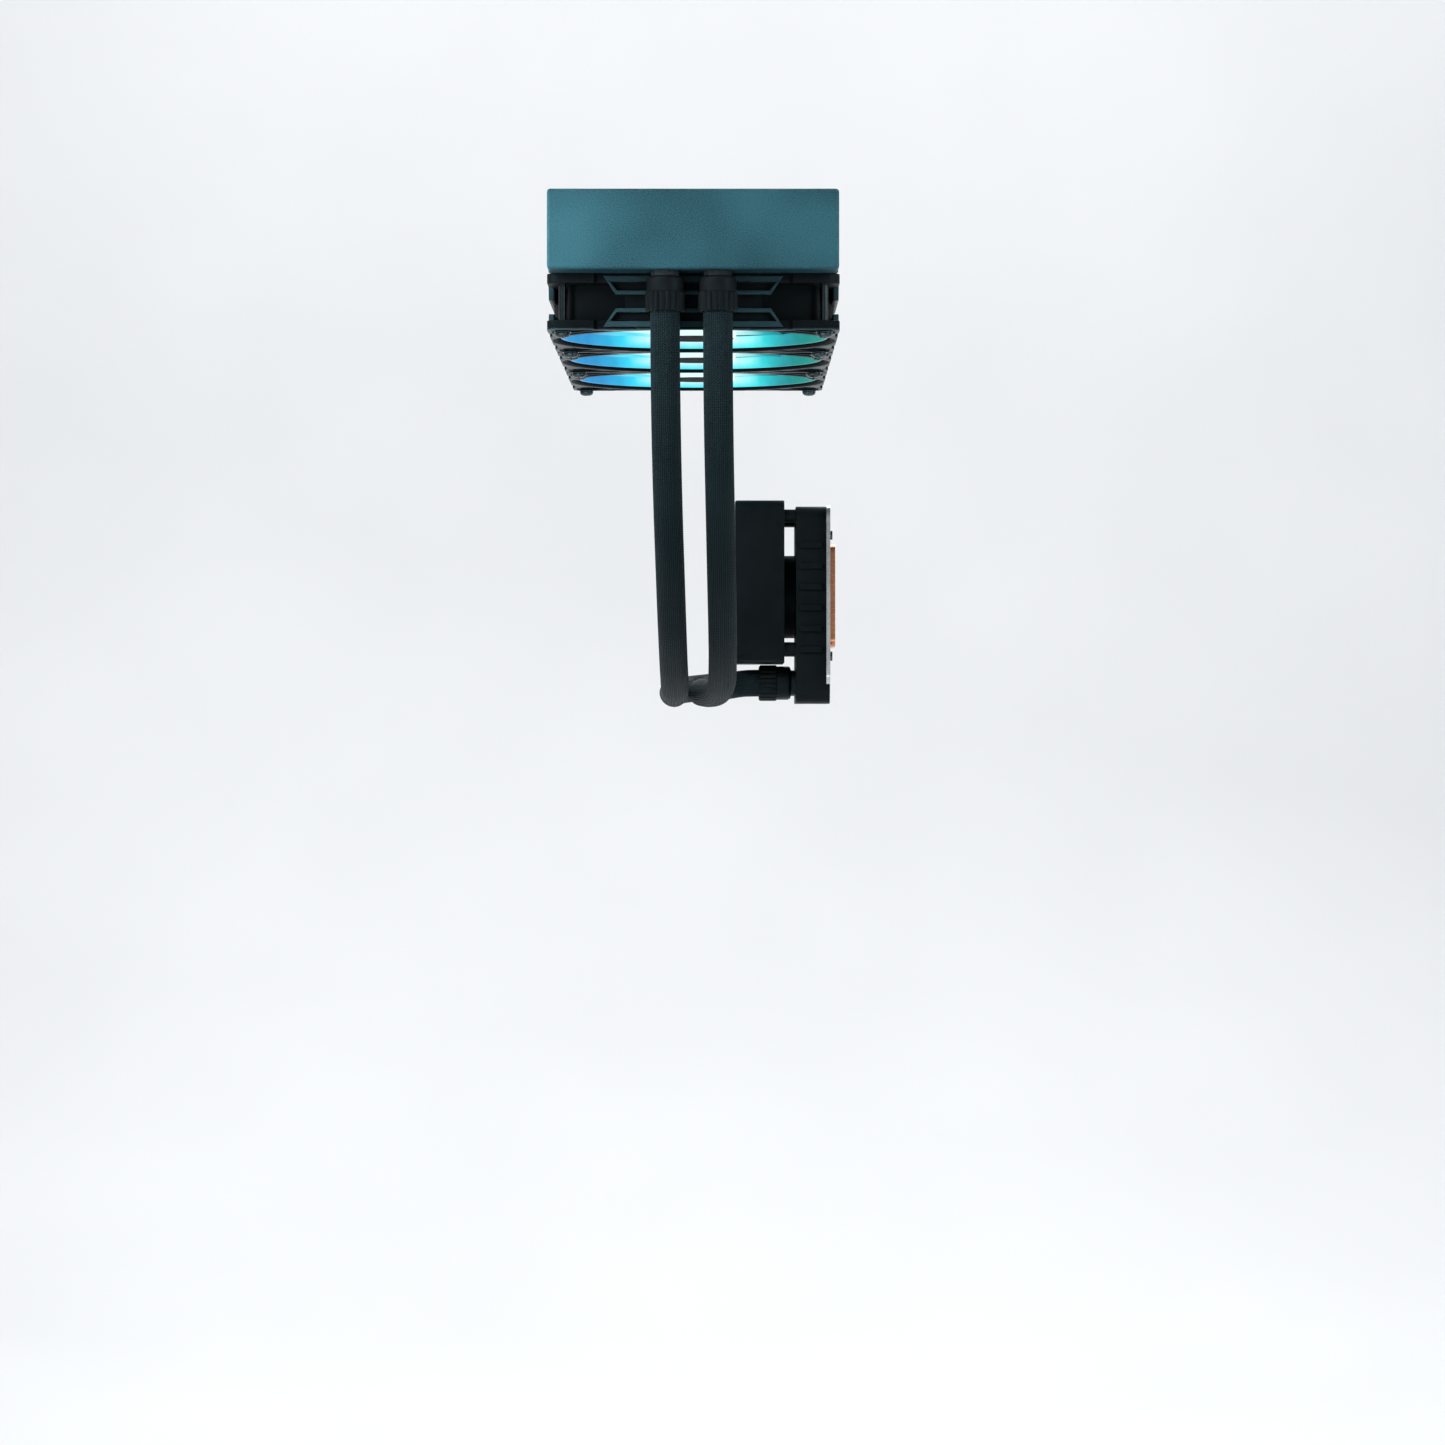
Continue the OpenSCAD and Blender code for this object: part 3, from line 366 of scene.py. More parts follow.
def plate(outline, holes, low, high, bevel=0.0):
    """A flat plate between two heights, with bevelled edges; rings are lists of (x, y)."""
    data = bpy.data.curves.new("plate", "CURVE")
    data.dimensions = "2D"
    data.fill_mode = "BOTH"
    data.extrude = (high - low) / 2 - bevel
    data.bevel_depth = bevel
    data.bevel_resolution = 1
    data.offset = -bevel
    for k, ring in enumerate([outline, *holes]):
        if (signed_area(ring) > 0) != (k == 0):
            ring = ring[::-1]
        spline = data.splines.new("POLY")
        spline.points.add(len(ring) - 1)
        for point, (x, y) in zip(spline.points, ring):
            point.co = (x, y, 0, 1)
        spline.use_cyclic_u = True
    holder = bpy.data.objects.new("plate", data)
    bpy.context.scene.collection.objects.link(holder)
    found = holder.evaluated_get(bpy.context.evaluated_depsgraph_get())
    mesh = bpy.data.meshes.new_from_object(found)
    part = bmesh.new()
    part.from_mesh(mesh)
    bpy.data.objects.remove(holder)
    bpy.data.curves.remove(data)
    bpy.data.meshes.remove(mesh)
    bmesh.ops.remove_doubles(part, verts=part.verts, dist=1e-4)
    part.transform(Matrix.Translation((0, 0, (low + high) / 2)))
    return part


def skin(rings, closed_rows, closed_columns):
    """Quads between rows of points."""
    part = bmesh.new()
    rows = [[part.verts.new(p) for p in ring] for ring in rings]
    count = len(rows[0])
    for i in range(len(rows) if closed_rows else len(rows) - 1):
        here, there = rows[i], rows[(i + 1) % len(rows)]
        for k in range(count if closed_columns else count - 1):
            n = (k + 1) % count
            part.faces.new((here[k], there[k], there[n], here[n]))
    return part, rows


def lathe(profile, steps=64, wave=None):
    """Turns (r, z) points round z. It is a ring, or solid where both ends have r = 0."""
    solid = profile[0][0] == 0
    rings = []
    for i in range(steps):
        a = TAU * i / steps
        rings.append([
            Vector((math.cos(a), math.sin(a), 0)) * (wave(a, r) if wave else r) + Vector((0, 0, z))
            for r, z in profile
        ])
    part, _ = skin(rings, True, not solid)
    bmesh.ops.remove_doubles(part, verts=part.verts, dist=1e-5)
    return part


def loft(sections):
    """A solid through closed sections, with flat ends."""
    part, rows = skin(sections, False, True)
    part.faces.new(rows[0])
    part.faces.new(rows[-1][::-1])
    return part


def brick(low, high, bevel, segments=3):
    """A block between two corners, with round edges."""
    part = bmesh.new()
    bmesh.ops.create_cube(part, size=1)
    low, high = Vector(low), Vector(high)
    size = high - low
    part.transform(Matrix.Translation((low + high) / 2) @ Matrix.Diagonal((*size, 1)))
    bmesh.ops.bevel(part, geom=part.edges[:], offset=bevel, segments=segments, profile=0.5, affect="EDGES")
    return part


def joined(parts):
    """One mesh of several parts, side by side."""
    whole = bmesh.new()
    for part in parts:
        mesh = bpy.data.meshes.new("part")
        part.to_mesh(mesh)
        part.free()
        whole.from_mesh(mesh)
        bpy.data.meshes.remove(mesh)
    return whole


def cut(part, cutters):
    """part with the cutters taken out of it."""
    made = []
    for name, piece in (("part", part), ("cutter", joined(cutters))):
        bmesh.ops.recalc_face_normals(piece, faces=piece.faces)
        mesh = bpy.data.meshes.new(name)
        piece.to_mesh(mesh)
        piece.free()
        made.append(bpy.data.objects.new(name, mesh))
        bpy.context.scene.collection.objects.link(made[-1])
    boolean = made[0].modifiers.new("cut", "BOOLEAN")
    boolean.object = made[1]
    boolean.operation = "DIFFERENCE"
    boolean.solver = "EXACT"
    found = made[0].evaluated_get(bpy.context.evaluated_depsgraph_get())
    mesh = bpy.data.meshes.new_from_object(found)
    result = bmesh.new()
    result.from_mesh(mesh)
    bpy.data.meshes.remove(mesh)
    for piece in made:
        bpy.data.meshes.remove(piece.data)
    return result


class Shape:
    """Closed parts that make one object, each with a material."""

    def __init__(self, name):
        self.name = name
        self.whole = bmesh.new()
        self.materials = []

    def add(self, part, material, place=Matrix()):
        """Puts a part in, at a place."""
        if material not in self.materials:
            self.materials.append(material)
        part.transform(place)
        bmesh.ops.recalc_face_normals(part, faces=part.faces)
        for face in part.faces:
            face.material_index = self.materials.index(material)
        mesh = bpy.data.meshes.new("part")
        part.to_mesh(mesh)
        part.free()
        self.whole.from_mesh(mesh)
        bpy.data.meshes.remove(mesh)

    def mesh(self, sharp=32):
        """The finished mesh in metres, smooth up to edges of sharp degrees."""
        data = bpy.data.meshes.new(self.name)
        self.whole.transform(Matrix.Diagonal((MM, MM, MM, 1)))
        self.whole.to_mesh(data)
        self.whole.free()
        for material in self.materials:
            data.materials.append(material)
        data.polygons.foreach_set("use_smooth", [True] * len(data.polygons))
        data.set_sharp_from_angle(angle=math.radians(sharp))
        return data


def show(name, mesh, body, replaced, origin=(0, 0, 0)):
    """Puts a mesh in the scene as a piece that stands for CAD nodes."""
    piece = bpy.data.objects.new(name, mesh)
    piece.location = Vector(origin) * MM
    bpy.context.scene.collection.objects.link(piece)
    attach(piece, body)
    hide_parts(*replaced)
    return piece


# Frames that stand a part drawn along z on another axis
TO_PLUS_X = Matrix.Rotation(math.pi / 2, 4, "Y")
TO_MINUS_X = Matrix.Rotation(-math.pi / 2, 4, "Y")
DOWN = Matrix.Rotation(math.pi, 4, "X")


def at(x, y, z):
    return Matrix.Translation((x, y, z))


def crossing(x, y):
    """The four places at x and y to both sides of the origin."""
    return [(i * x, k * y) for i in (-1, 1) for k in (-1, 1)]


# ---- Hoses ----

HOSE_D = 14
HOSE_SIDES = 88
RING_STEP = 0.42
PATH_STEP = 4
FINE_STEPS = 60
RELIEF = 0.2
LEFT_ROUTE = [
    (-13.3, -220.5, -57.4), (-13.2, -219.5, -85), (-12.8, -212, -118),
    (-12.2, -195, -150), (-11.4, -173, -180), (-10.8, -144, -205),
    (-10.4, -113, -222), (-10.2, -82, -232), (-10.4, -50, -236),
    (-11, -15, -237), (-12, 18, -236.5), (-11.6, 41, -236),
    (-5.7, 63.5, -234.5), (10.8, 80, -232.5), (22, 85, -231.3),
    (33.3, 86, -231),
]
RIGHT_ROUTE = [
    (11.7, -220.5, -57.4), (11.8, -219.5, -85), (12.2, -212, -118),
    (12.8, -195, -150), (13.4, -173, -180), (13.9, -144, -205),
    (14, -113, -222), (13.5, -82, -232), (11.5, -50, -236),
    (7.5, -18, -237), (3.8, 10, -236.5), (3, 26, -236),
    (7.5, 39, -234.5), (17.5, 49, -232.5), (25.5, 52.5, -231.3),
    (33.3, 53, -231),
]


def on_route(route, t):
    """The same smooth curve as the CAD hose, at t from 0 to the last point's index."""
    i = min(int(t), len(route) - 2)
    f = t - i
    p, a, b, q = [Vector(route[max(0, min(len(route) - 1, i + k))]) for k in (-1, 0, 1, 2)]
    return a + f / 2 * (b - p + f * (2 * p - 5 * a + 4 * b - q + f * (3 * (a - b) + q - p)))


def even_points(route, step):
    """Points a step apart along the route, and its length."""
    fine = [on_route(route, i / FINE_STEPS) for i in range(FINE_STEPS * (len(route) - 1) + 1)]
    runs = [0.0]
    for a, b in zip(fine, fine[1:]):
        runs.append(runs[-1] + (b - a).length)
    count = round(runs[-1] / step)
    points, k = [], 0
    for i in range(count + 1):
        want = runs[-1] * i / count
        while k < len(runs) - 2 and runs[k + 1] < want:
            k += 1
        points.append(fine[k].lerp(fine[k + 1], (want - runs[k]) / (runs[k + 1] - runs[k])))
    return points, runs[-1]


def yarn_height(side, along):
    """Relief of the braid: staggered stitches in columns, with valleys between them."""
    if side % 2 == 0:
        return 0.0
    column = side // 2
    return RELIEF * (0.6 + 0.4 * math.cos(TAU * (along / STITCH + 0.5 * (column % 2))))


def make_hose(name, route, node):
    """A braided hose that leaves its route's start downwards and ends towards +x."""
    points, length = even_points(route, RING_STEP)
    headings = [Vector((0, 0, -1))]
    headings += [(b - a).normalized() for a, b in zip(points, points[2:])]
    headings.append(Vector((1, 0, 0)))
    side = Vector((1, 0, 0))
    rings = []
    for i, (centre, heading) in enumerate(zip(points, headings)):
        side = (side - side.dot(heading) * heading).normalized()
        other = heading.cross(side)
        along = length * i / (len(points) - 1)
        ring = []
        for s in range(HOSE_SIDES):
            a = TAU * s / HOSE_SIDES
            r = HOSE_D / 2 - RELIEF / 2 + yarn_height(s, along)
            ring.append(centre + r * (math.cos(a) * side + math.sin(a) * other))
        rings.append(ring)
    part = loft(rings)
    layer = part.loops.layers.uv.new("UVMap")
    columns = HOSE_SIDES // 2
    part.verts.index_update()
    for face in part.faces:
        places = [(v.vert.index % HOSE_SIDES, v.vert.index // HOSE_SIDES) for v in face.loops]
        wraps = max(p[0] for p in places) - min(p[0] for p in places) > columns
        for corner, (s, k) in zip(face.loops, places):
            s += HOSE_SIDES if wraps and s < columns else 0
            corner[layer].uv = (s / 2 * BRAID_PITCH, length * k / (len(points) - 1))
    shape = Shape(name)
    shape.add(part, BRAID)
    hose = show(name, shape.mesh(70), ROOT, [node])
    path = [p * MM for p in even_points(route, PATH_STEP)[0]]


make_hose("left_hose_braid", LEFT_ROUTE, "left_hose")
make_hose("right_hose_braid", RIGHT_ROUTE, "right_hose")

# ---- Hose ends ----

COLLAR_LOW = 2.6
COLLAR_R = 8.8
NUT_R = 9.5
NUT_LOW = 10.1
NUT_HIGH = 19.4
FLUTES = 20
FLUTE_DEPTH = 0.72
FLUTE_START = 9


def sleeve():
    """Smooth collar and fluted nut, standing on the port's face."""
    bore = 4.6
    profile = [(bore, COLLAR_LOW), (7.2, COLLAR_LOW)]
    profile += arc(COLLAR_R - 1.5, 4.2, 1.5, -80, 0, 6)
    profile += [(COLLAR_R, 9.5), (COLLAR_R - 0.15, 9.95), (COLLAR_R - 0.15, NUT_LOW)]
    profile += [(NUT_R - 0.4, NUT_LOW), (NUT_R, 10.5), (NUT_R, 18.5), (NUT_R - 0.4, 19.15)]
    profile += [(NUT_R - 1, NUT_HIGH), (7.6, NUT_HIGH), (7.1, 19), (bore, 18.8)]

    def fluted(a, r):
        if r < FLUTE_START:
            return r
        return r - FLUTE_DEPTH * (0.5 + 0.5 * math.cos(FLUTES * a)) ** 2

    return lathe(profile, FLUTES * 12, fluted)


def make_sleeves(name, node, places):
    shape = Shape(name)
    for place in places:
        shape.add(sleeve(), SLEEVE, place)
    show(name, shape.mesh(28), ROOT, [node])


PORT_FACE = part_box("front_tank")[0].z / MM
BASE_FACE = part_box("pump_base")[0].x / MM
make_sleeves(
    "radiator_sleeve_pair", "radiator_sleeves",
    [at(route[0][0], route[0][1], PORT_FACE) @ DOWN for route in (LEFT_ROUTE, RIGHT_ROUTE)],
)
make_sleeves(
    "pump_sleeve_pair", "pump_sleeves",
    [at(BASE_FACE, route[-1][1], route[-1][2]) @ TO_MINUS_X for route in (LEFT_ROUTE, RIGHT_ROUTE)],
)

# ---- Radiator ----

HALF_W = 69
DEPTH = 38
CORE_Y = 210
FRONT_FACE = -231
REAR_FACE = 227
SEAM = 1.6
GROOVE = 0.35


def make_tank(name, node, near, far):
    """A tank from its outer face at near to the core at far, with a brazed seam at the core."""
    way = 1 if far > near else -1
    shape = Shape(name)
    lows = [near, far - way * (SEAM + 1), far - way * SEAM]
    highs = [far - way * (SEAM + GROOVE), far, far]
    insets = [0, GROOVE, 0]
    bevels = [1.6, 0.2, 0.5]
    coats = [TEAL_COAT_AND_PAINTED_LIGHT, SEAM_COAT_AND_PAINTED_LIGHT, TEAL_COAT_AND_PAINTED_LIGHT]
    for y0, y1, inset, bevel, coat in zip(lows, highs, insets, bevels, coats):
        low = (-HALF_W + inset, min(y0, y1), -DEPTH + inset)
        high = (HALF_W - inset, max(y0, y1), -inset)
        shape.add(brick(low, high, bevel, 4), coat)
    show(name, shape.mesh(), ROOT, [node])


make_tank("front_tank_shell", "front_tank", FRONT_FACE, -CORE_Y)
make_tank("rear_tank_shell", "rear_tank", REAR_FACE, CORE_Y)

TUBES = 14
TUBE_T = 2
FOLD = 3.2
CREST = 0.14 * FOLD
SHEET = 0.14
FIN_INSET = 0.3


def fold_strip(x0, x1, y0, y1, z0, z1):
    """A thin sheet folded to and fro between two tubes."""
    count = int((y1 - y0) / FOLD)
    line = []
    for k in range(2 * count + 1):
        x = x0 + SHEET / 2 if k % 2 == 0 else x1 - SHEET / 2
        y = y0 + CREST + k * FOLD / 2
        line += [Vector((x, y - CREST)), Vector((x, y + CREST))]
    sections = []
    for i, p in enumerate(line):
        before, after = line[max(0, i - 1)], line[min(len(line) - 1, i + 1)]
        run = (after - before).normalized()
        off = Vector((-run.y, run.x)) * SHEET / 2
        a, b = p + off, p - off
        sections.append([(a.x, a.y, z0), (a.x, a.y, z1), (b.x, b.y, z1), (b.x, b.y, z0)])
    return loft(sections)


def make_fins():
    low, high = [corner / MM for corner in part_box("fin_strips")]
    bottom, top = low.z + FIN_INSET, high.z - FIN_INSET
    width = (high.x - low.x - TUBES * TUBE_T) / (TUBES + 1)
    shape = Shape("fin_pack")
    for i in range(TUBES + 1):
        x = low.x + i * (width + TUBE_T)
        shape.add(fold_strip(x, x + width, low.y, high.y, bottom, top), FIN_BLACK)
    show("fin_pack", shape.mesh(20), ROOT, ["fin_strips"])


make_fins()

RAIL_T = 1.2
RAIL_LIP = 12
BEND = 2.2
FANS_Y = (-140, 0, 140)
HOLE_HALF = 62.5
M3_R = 1.5
SCREW_R = 1.75
DRILL_R = 2.2
DRILL_REACH = 3
RIM_R = 2.9
RIM_DEPTH = 3


def rail_section():
    """The channel's outline across the rail, as (x, z)."""
    x, top, bottom = HALF_W - BEND, -BEND, BEND - DEPTH
    inner_r = BEND - RAIL_T
    outer = arc(x, top, BEND, 90, 0, 6) + arc(x, bottom, BEND, 0, -90, 6)
    inner = arc(x, bottom, inner_r, -90, 0, 6) + arc(x, top, inner_r, 0, 90, 6)
    edge = HALF_W - RAIL_LIP
    return [(edge, 0), *outer, (edge, -DEPTH), (edge, RAIL_T - DEPTH), *inner, (edge, -RAIL_T)]


def screw_rim(bore):
    """The formed rim of a screw hole, drawn up from the rail's face."""
    profile = [(bore, 0.25), (bore + 0.25, 0.02), (2.3, 0.02), (RIM_R, 1.3), (RIM_R, RIM_DEPTH - 0.4)]
    profile += [(RIM_R - 0.3, RIM_DEPTH), (bore + 0.25, RIM_DEPTH), (bore, RIM_DEPTH - 0.25)]
    return lathe(profile, 32)


def make_rail(name, node, side):
    """A channel rail with its screw holes: M3 towards the case, larger towards the fans."""
    section = rail_section()
    part = loft([[(x, y, z) for x, z in section] for y in (-CORE_Y, CORE_Y)])
    places = [
        (HOLE_HALF, fan + way * HOLE_HALF, z)
        for fan in FANS_Y for way in (-1, 1) for z in (-RAIL_T / 2, RAIL_T / 2 - DEPTH)
    ]
    drills = []
    for place in places:
        end = (DRILL_R, DRILL_REACH)
        drill = lathe([(0, -DRILL_REACH), (DRILL_R, -DRILL_REACH), end, (0, DRILL_REACH)], 32)
        drill.transform(at(*place))
        drills.append(drill)
    shape = Shape(name)
    flip = Matrix.Diagonal((side, 1, 1, 1))
    shape.add(cut(part, drills), RAIL_COAT, flip)
    for x, y, z in places:
        face, bore, inward = (0, M3_R, -1) if z > -DEPTH / 2 else (-DEPTH, SCREW_R, 1)
        stand = flip @ at(x, y, face) @ Matrix.Diagonal((1, 1, inward, 1))
        shape.add(screw_rim(bore), RAIL_COAT, stand)
    show(name, shape.mesh(), ROOT, [node])


make_rail("left_rail_channel", "left_rail", -1)
make_rail("right_rail_channel", "right_rail", 1)

# ---- Fans: drawn with the radiator's face at z = 0 and the intake at -FAN_T ----

FAN_SIZE = 140
FAN_T = 27
FLANGE_T = 4.7
CORNER_R = 6
DUCT_R = 67
DUCT_GAP_R = DUCT_R + 1
DUCT_WALL_R = DUCT_R + 0.8
LIP_GAP_R = 69.15
LIP_RING_R = 71
HOLE_R = 2.15
BOSS_R = 3.4
INSET = 0.15
NOTCH = 1.5
POST_HALF = 60.3
POST_R = 7
STRUTS = 5
STRUT_TURN = 18
HUB_R = 20.6
BASE_R = 21.5
BASE_T = 3.2
TUBE_IN = 3.5
TUBE_OUT = 4.7
TUBE_LOW = -19.5
LIP_FACE = -FAN_T
STEP_FACE = 0.6 - FAN_T
PAD_FACE = 1.3 - FAN_T
# The side walls' raised frames: half widths above and below, top and bottom, thickness
FRAME_OUTLINE = (42.8, 36.9, -1.4, -10.2)
FRAME_POCKET = (39.7, 36.4, -4.1, -8.3)
FRAME_T = 2.9
POCKET_FLOOR = 2.2


def notched_square():
    """The flange's outline, with a shallow notch on each side of every corner."""
    half = FAN_SIZE / 2 - INSET
    side = [(half, -47.4), (half - NOTCH, -45.9), (half - NOTCH, -27.5), (half, -26)]
    side += [(x, -y) for x, y in reversed(side)]
    corner = arc(half - CORNER_R, half - CORNER_R, CORNER_R, 0, 90, 6)
    points = []
    for k in range(4):
        points += turned(side + corner, k * math.pi / 2)
    return points


def from_corner(points):
    """Points measured from the frame's (+x, +y) corner, as fan coordinates."""
    half = FAN_SIZE / 2
    return [(half - u, half - v) for u, v in points]


def four(points):
    """The same outline at the four corners."""
    return [turned(points, k * math.pi / 2) for k in range(4)]


def lip_window():
    """What the raised lip leaves open at a corner; the duct's ring closes it."""
    half = FAN_SIZE / 2
    near, far = 9.8, 32.3
    out = from_corner([(near, far), (2.2, 22), (2.2, 6)])
    corner = from_corner(arc(6.2, 6.2, 4, 180, 270, 5))
    back = from_corner([(6, 2.2), (22, 2.2), (far, near)])
    start = math.degrees(math.atan2(half - near, half - far))
    end = math.degrees(math.atan2(half - far, half - near))
    return out + corner[1:-1] + back + arc(0, 0, LIP_RING_R, end, start, 10)[1:-1]


def pad_window():
    """The sunk pad round a screw boss."""
    corner = arc(7.9, 7.9, 4.2, 180, 270, 5)
    return from_corner([(3.7, 13), (12, 23), (23, 12), (13, 3.7), *corner[::-1]])


def trapezoid(top_half, low_half, high, low):
    return [(-top_half, high), (top_half, high), (low_half, low), (-low_half, low)]


def corner_post():
    """One of the four walls' corners between the flanges, outside the duct."""
    reach = math.degrees(math.acos(POST_HALF / DUCT_WALL_R))
    bend = arc(POST_HALF - POST_R, POST_HALF - POST_R, POST_R, 0, 90, 6)
    return bend + arc(0, 0, DUCT_WALL_R, 90 - reach, reach, 12)


def add_flanges(shape):
    """Both flanges. The intake's has a sunk pad in each corner, a step and a raised lip."""
    outline = notched_square()
    holes = [circle(x, y, HOLE_R, 24) for x, y in crossing(HOLE_HALF, HOLE_HALF)]
    duct = circle(0, 0, DUCT_GAP_R, 128)
    lip_gap = circle(0, 0, LIP_GAP_R, 128)
    shape.add(plate(outline, [duct, *holes], -FLANGE_T, 0, 0.35), FAN_PLASTIC)
    shape.add(plate(outline, [duct, *holes], PAD_FACE, FLANGE_T - FAN_T, 0.3), FAN_MATT_PAINTED_SHADE)
    shape.add(plate(outline, [duct, *four(pad_window())], STEP_FACE, PAD_FACE + 0.1, 0.12), FAN_PLASTIC)
    shape.add(plate(outline, [lip_gap, *four(lip_window())], LIP_FACE, STEP_FACE + 0.1, 0.2), FAN_RIM_PAINTED_LIGHT)
    boss_top = PAD_FACE + 0.5
    boss = [(HOLE_R, boss_top), (HOLE_R, LIP_FACE + 0.1), (HOLE_R + 0.15, LIP_FACE)]
    boss += [(BOSS_R - 0.2, LIP_FACE), (BOSS_R, LIP_FACE + 0.2), (BOSS_R, boss_top)]
    for x, y in crossing(HOLE_HALF, HOLE_HALF):
        shape.add(lathe(boss, 32), FAN_RIM_PAINTED_LIGHT, at(x, y, 0))


def add_walls(shape):
    """The corner posts, and two raised frames on each side, one the other's mirror image."""
    post_low, post_high = FLANGE_T - FAN_T - 0.3, 0.3 - FLANGE_T
    outline, pocket = trapezoid(*FRAME_OUTLINE), trapezoid(*FRAME_POCKET)
    for k in range(4):
        spin = Matrix.Rotation(k * math.pi / 2, 4, "Z")
        shape.add(plate(corner_post(), [], post_low, post_high, 0.1), FAN_MATT_PAINTED_SHADE, spin)
        for flip, base in ((1, 0), (-1, -FAN_T)):
            # Plate coordinates are across and up; its thickness goes in from the wall's face
            stand = Matrix(((1, 0, 0, 0), (0, 0, 1, -FAN_SIZE / 2), (0, flip, 0, base), (0, 0, 0, 1)))
            shape.add(plate(outline, [pocket], 0, FRAME_T, 0.25), FAN_RIM_PAINTED_LIGHT, spin @ stand)
            shape.add(plate(outline, [], POCKET_FLOOR, FRAME_T, 0.1), FAN_MATT_PAINTED_SHADE, spin @ stand)


def add_duct(shape):
    """The duct's barrel with its rounded intake, the hub's base and tube, and the struts."""
    outside = DUCT_R + 1.6
    barrel = [(DUCT_R + 0.3, 0), (DUCT_R, -0.4), (DUCT_R, -25)]
    barrel += arc(outside, -25.4, 1.6, 180, 270, 6)
    barrel += [(outside + 0.15, LIP_FACE), (outside + 0.3, LIP_FACE + 0.2), (outside, -20), (outside, 0)]
    shape.add(lathe(barrel, 160), FAN_MATT_PAINTED_SHADE)
    base = [(0, -BASE_T), (BASE_R - 0.9, -BASE_T), (BASE_R, 0.9 - BASE_T)]
    base += [(BASE_R, -0.5), (BASE_R - 0.5, 0), (0, 0)]
    shape.add(lathe(base, 72), FAN_PLASTIC)
    tube = [(TUBE_IN, -3), (TUBE_IN, TUBE_LOW + 0.3), (TUBE_IN + 0.2, TUBE_LOW)]
    tube += [(TUBE_OUT - 0.3, TUBE_LOW), (TUBE_OUT, TUBE_LOW + 0.4), (TUBE_OUT, -3)]
    shape.add(lathe(tube, 40), FAN_PLASTIC)
    for i in range(STRUTS):
        turn = math.radians(STRUT_TURN) + i * TAU / STRUTS
        strut = brick((BASE_R - 2, -2, -BASE_T), (DUCT_R + 0.9, 2, 0), 0.9, 3)
        shape.add(strut, FAN_PLASTIC, Matrix.Rotation(turn, 4, "Z"))


def fan_moulding():
    shape = Shape("fan_moulding")
    add_flanges(shape)
    add_walls(shape)
    add_duct(shape)
    return shape.mesh()


BLADES = 7
RING_IN = 64.3
RING_OUT = GLOW_R
RING_H = 6
HUB_LOW = 1.3 - FAN_T
HUB_HIGH = -BASE_T - 2
CUP_FLOOR = HUB_LOW + 2.8
BLADE_Z = -15.6
BLADE_SWEEP = 17


def rotor_blade():
    """A wide, swept blade: an ellipse-like section at each radius."""
    steps = 16
    around = 24
    inner, outer = HUB_R - 0.4, RING_IN + 0.5
    sections = []
    for i in range(steps + 1):
        u = i / steps
        r = inner + (outer - inner) * u
        span = math.radians(50 - 3 * u)
        rise = 15.5 - 5.5 * u
        thick = 1.9 - 0.7 * u
        sweep = math.radians(BLADE_SWEEP) * u * u
        section = []
        for k in range(around):
            a = TAU * k / around
            v = (1 - math.cos(a)) / 2
            turn = sweep + (v - 0.5) * span
            camber = 1.6 * (1 - (2 * v - 1) ** 2)
            z = BLADE_Z + (v - 0.5) * rise + camber + thick / 2 * math.sin(a)
            section.append((r * math.cos(turn), r * math.sin(turn), z))
        sections.append(section)
    return loft(sections)


def rotor_mesh():
    """A rotor: the hub's cup, the blades and the ring round them."""
    shape = Shape("fan_blades")
    cup = [(0, HUB_LOW + 0.8), (19.4, HUB_LOW + 0.8), (19.4, HUB_LOW + 0.2), (19.6, HUB_LOW)]
    cup += [(20.1, HUB_LOW), (HUB_R, HUB_LOW + 0.5), (HUB_R, HUB_HIGH - 0.3), (HUB_R - 0.3, HUB_HIGH)]
    cup += [(19.2, HUB_HIGH), (19, HUB_HIGH - 0.2), (19, CUP_FLOOR), (0, CUP_FLOOR)]
    shape.add(lathe(cup, 96), GLOW)
    low, high = HUB_LOW + 0.2, HUB_LOW + 0.2 + RING_H
    ring = [(RING_IN, low + 0.3), (RING_IN + 0.3, low), (RING_OUT - 0.3, low), (RING_OUT, low + 0.3)]
    ring += [(RING_OUT, high - 0.3), (RING_OUT - 0.3, high), (RING_IN + 0.3, high), (RING_IN, high - 0.3)]
    shape.add(lathe(ring, 160), GLOW)
    for i in range(BLADES):
        shape.add(rotor_blade(), GLOW, Matrix.Rotation(i * TAU / BLADES, 4, "Z"))
    return shape.mesh(40)


def make_fans():
    moulding = fan_moulding()
    rotor = rotor_mesh()
    for i, y in enumerate(FANS_Y, 1):
        place = (0, y, -DEPTH)
        show(f"fan_{i}_moulding", moulding, ROOT, [f"fan_{i}_frame"], place)
        show(f"fan_{i}_blades", rotor, f"fan_{i}_spinner", [f"fan_{i}_rotor"], place)


make_fans()

WASHER_T = 0.8
WASHER_R = 4.1
HEAD_H = 2.5
HEAD_R = 3.7
SHANK_L = 29.2
THREAD_START = 25
THREAD_END = 28.9
THREAD_PITCH = 0.8
THREAD_DEPTH = 0.3
# The cross recess: its reach, half the width of an arm at the middle and at the tip, its depth
CROSS_REACH = 2.03
CROSS_HALF = 0.5
CROSS_TIP = 0.38
CROSS_DEPTH = 1.3


def thread(low, high):
    """Shallow grooves round a screw's shank."""
    points = []
    for i in range(int((high - low) / THREAD_PITCH)):
        z = low + i * THREAD_PITCH
        points += [(SCREW_R, z), (SCREW_R, z + 0.3), (SCREW_R - THREAD_DEPTH, z + 0.55)]
    return points


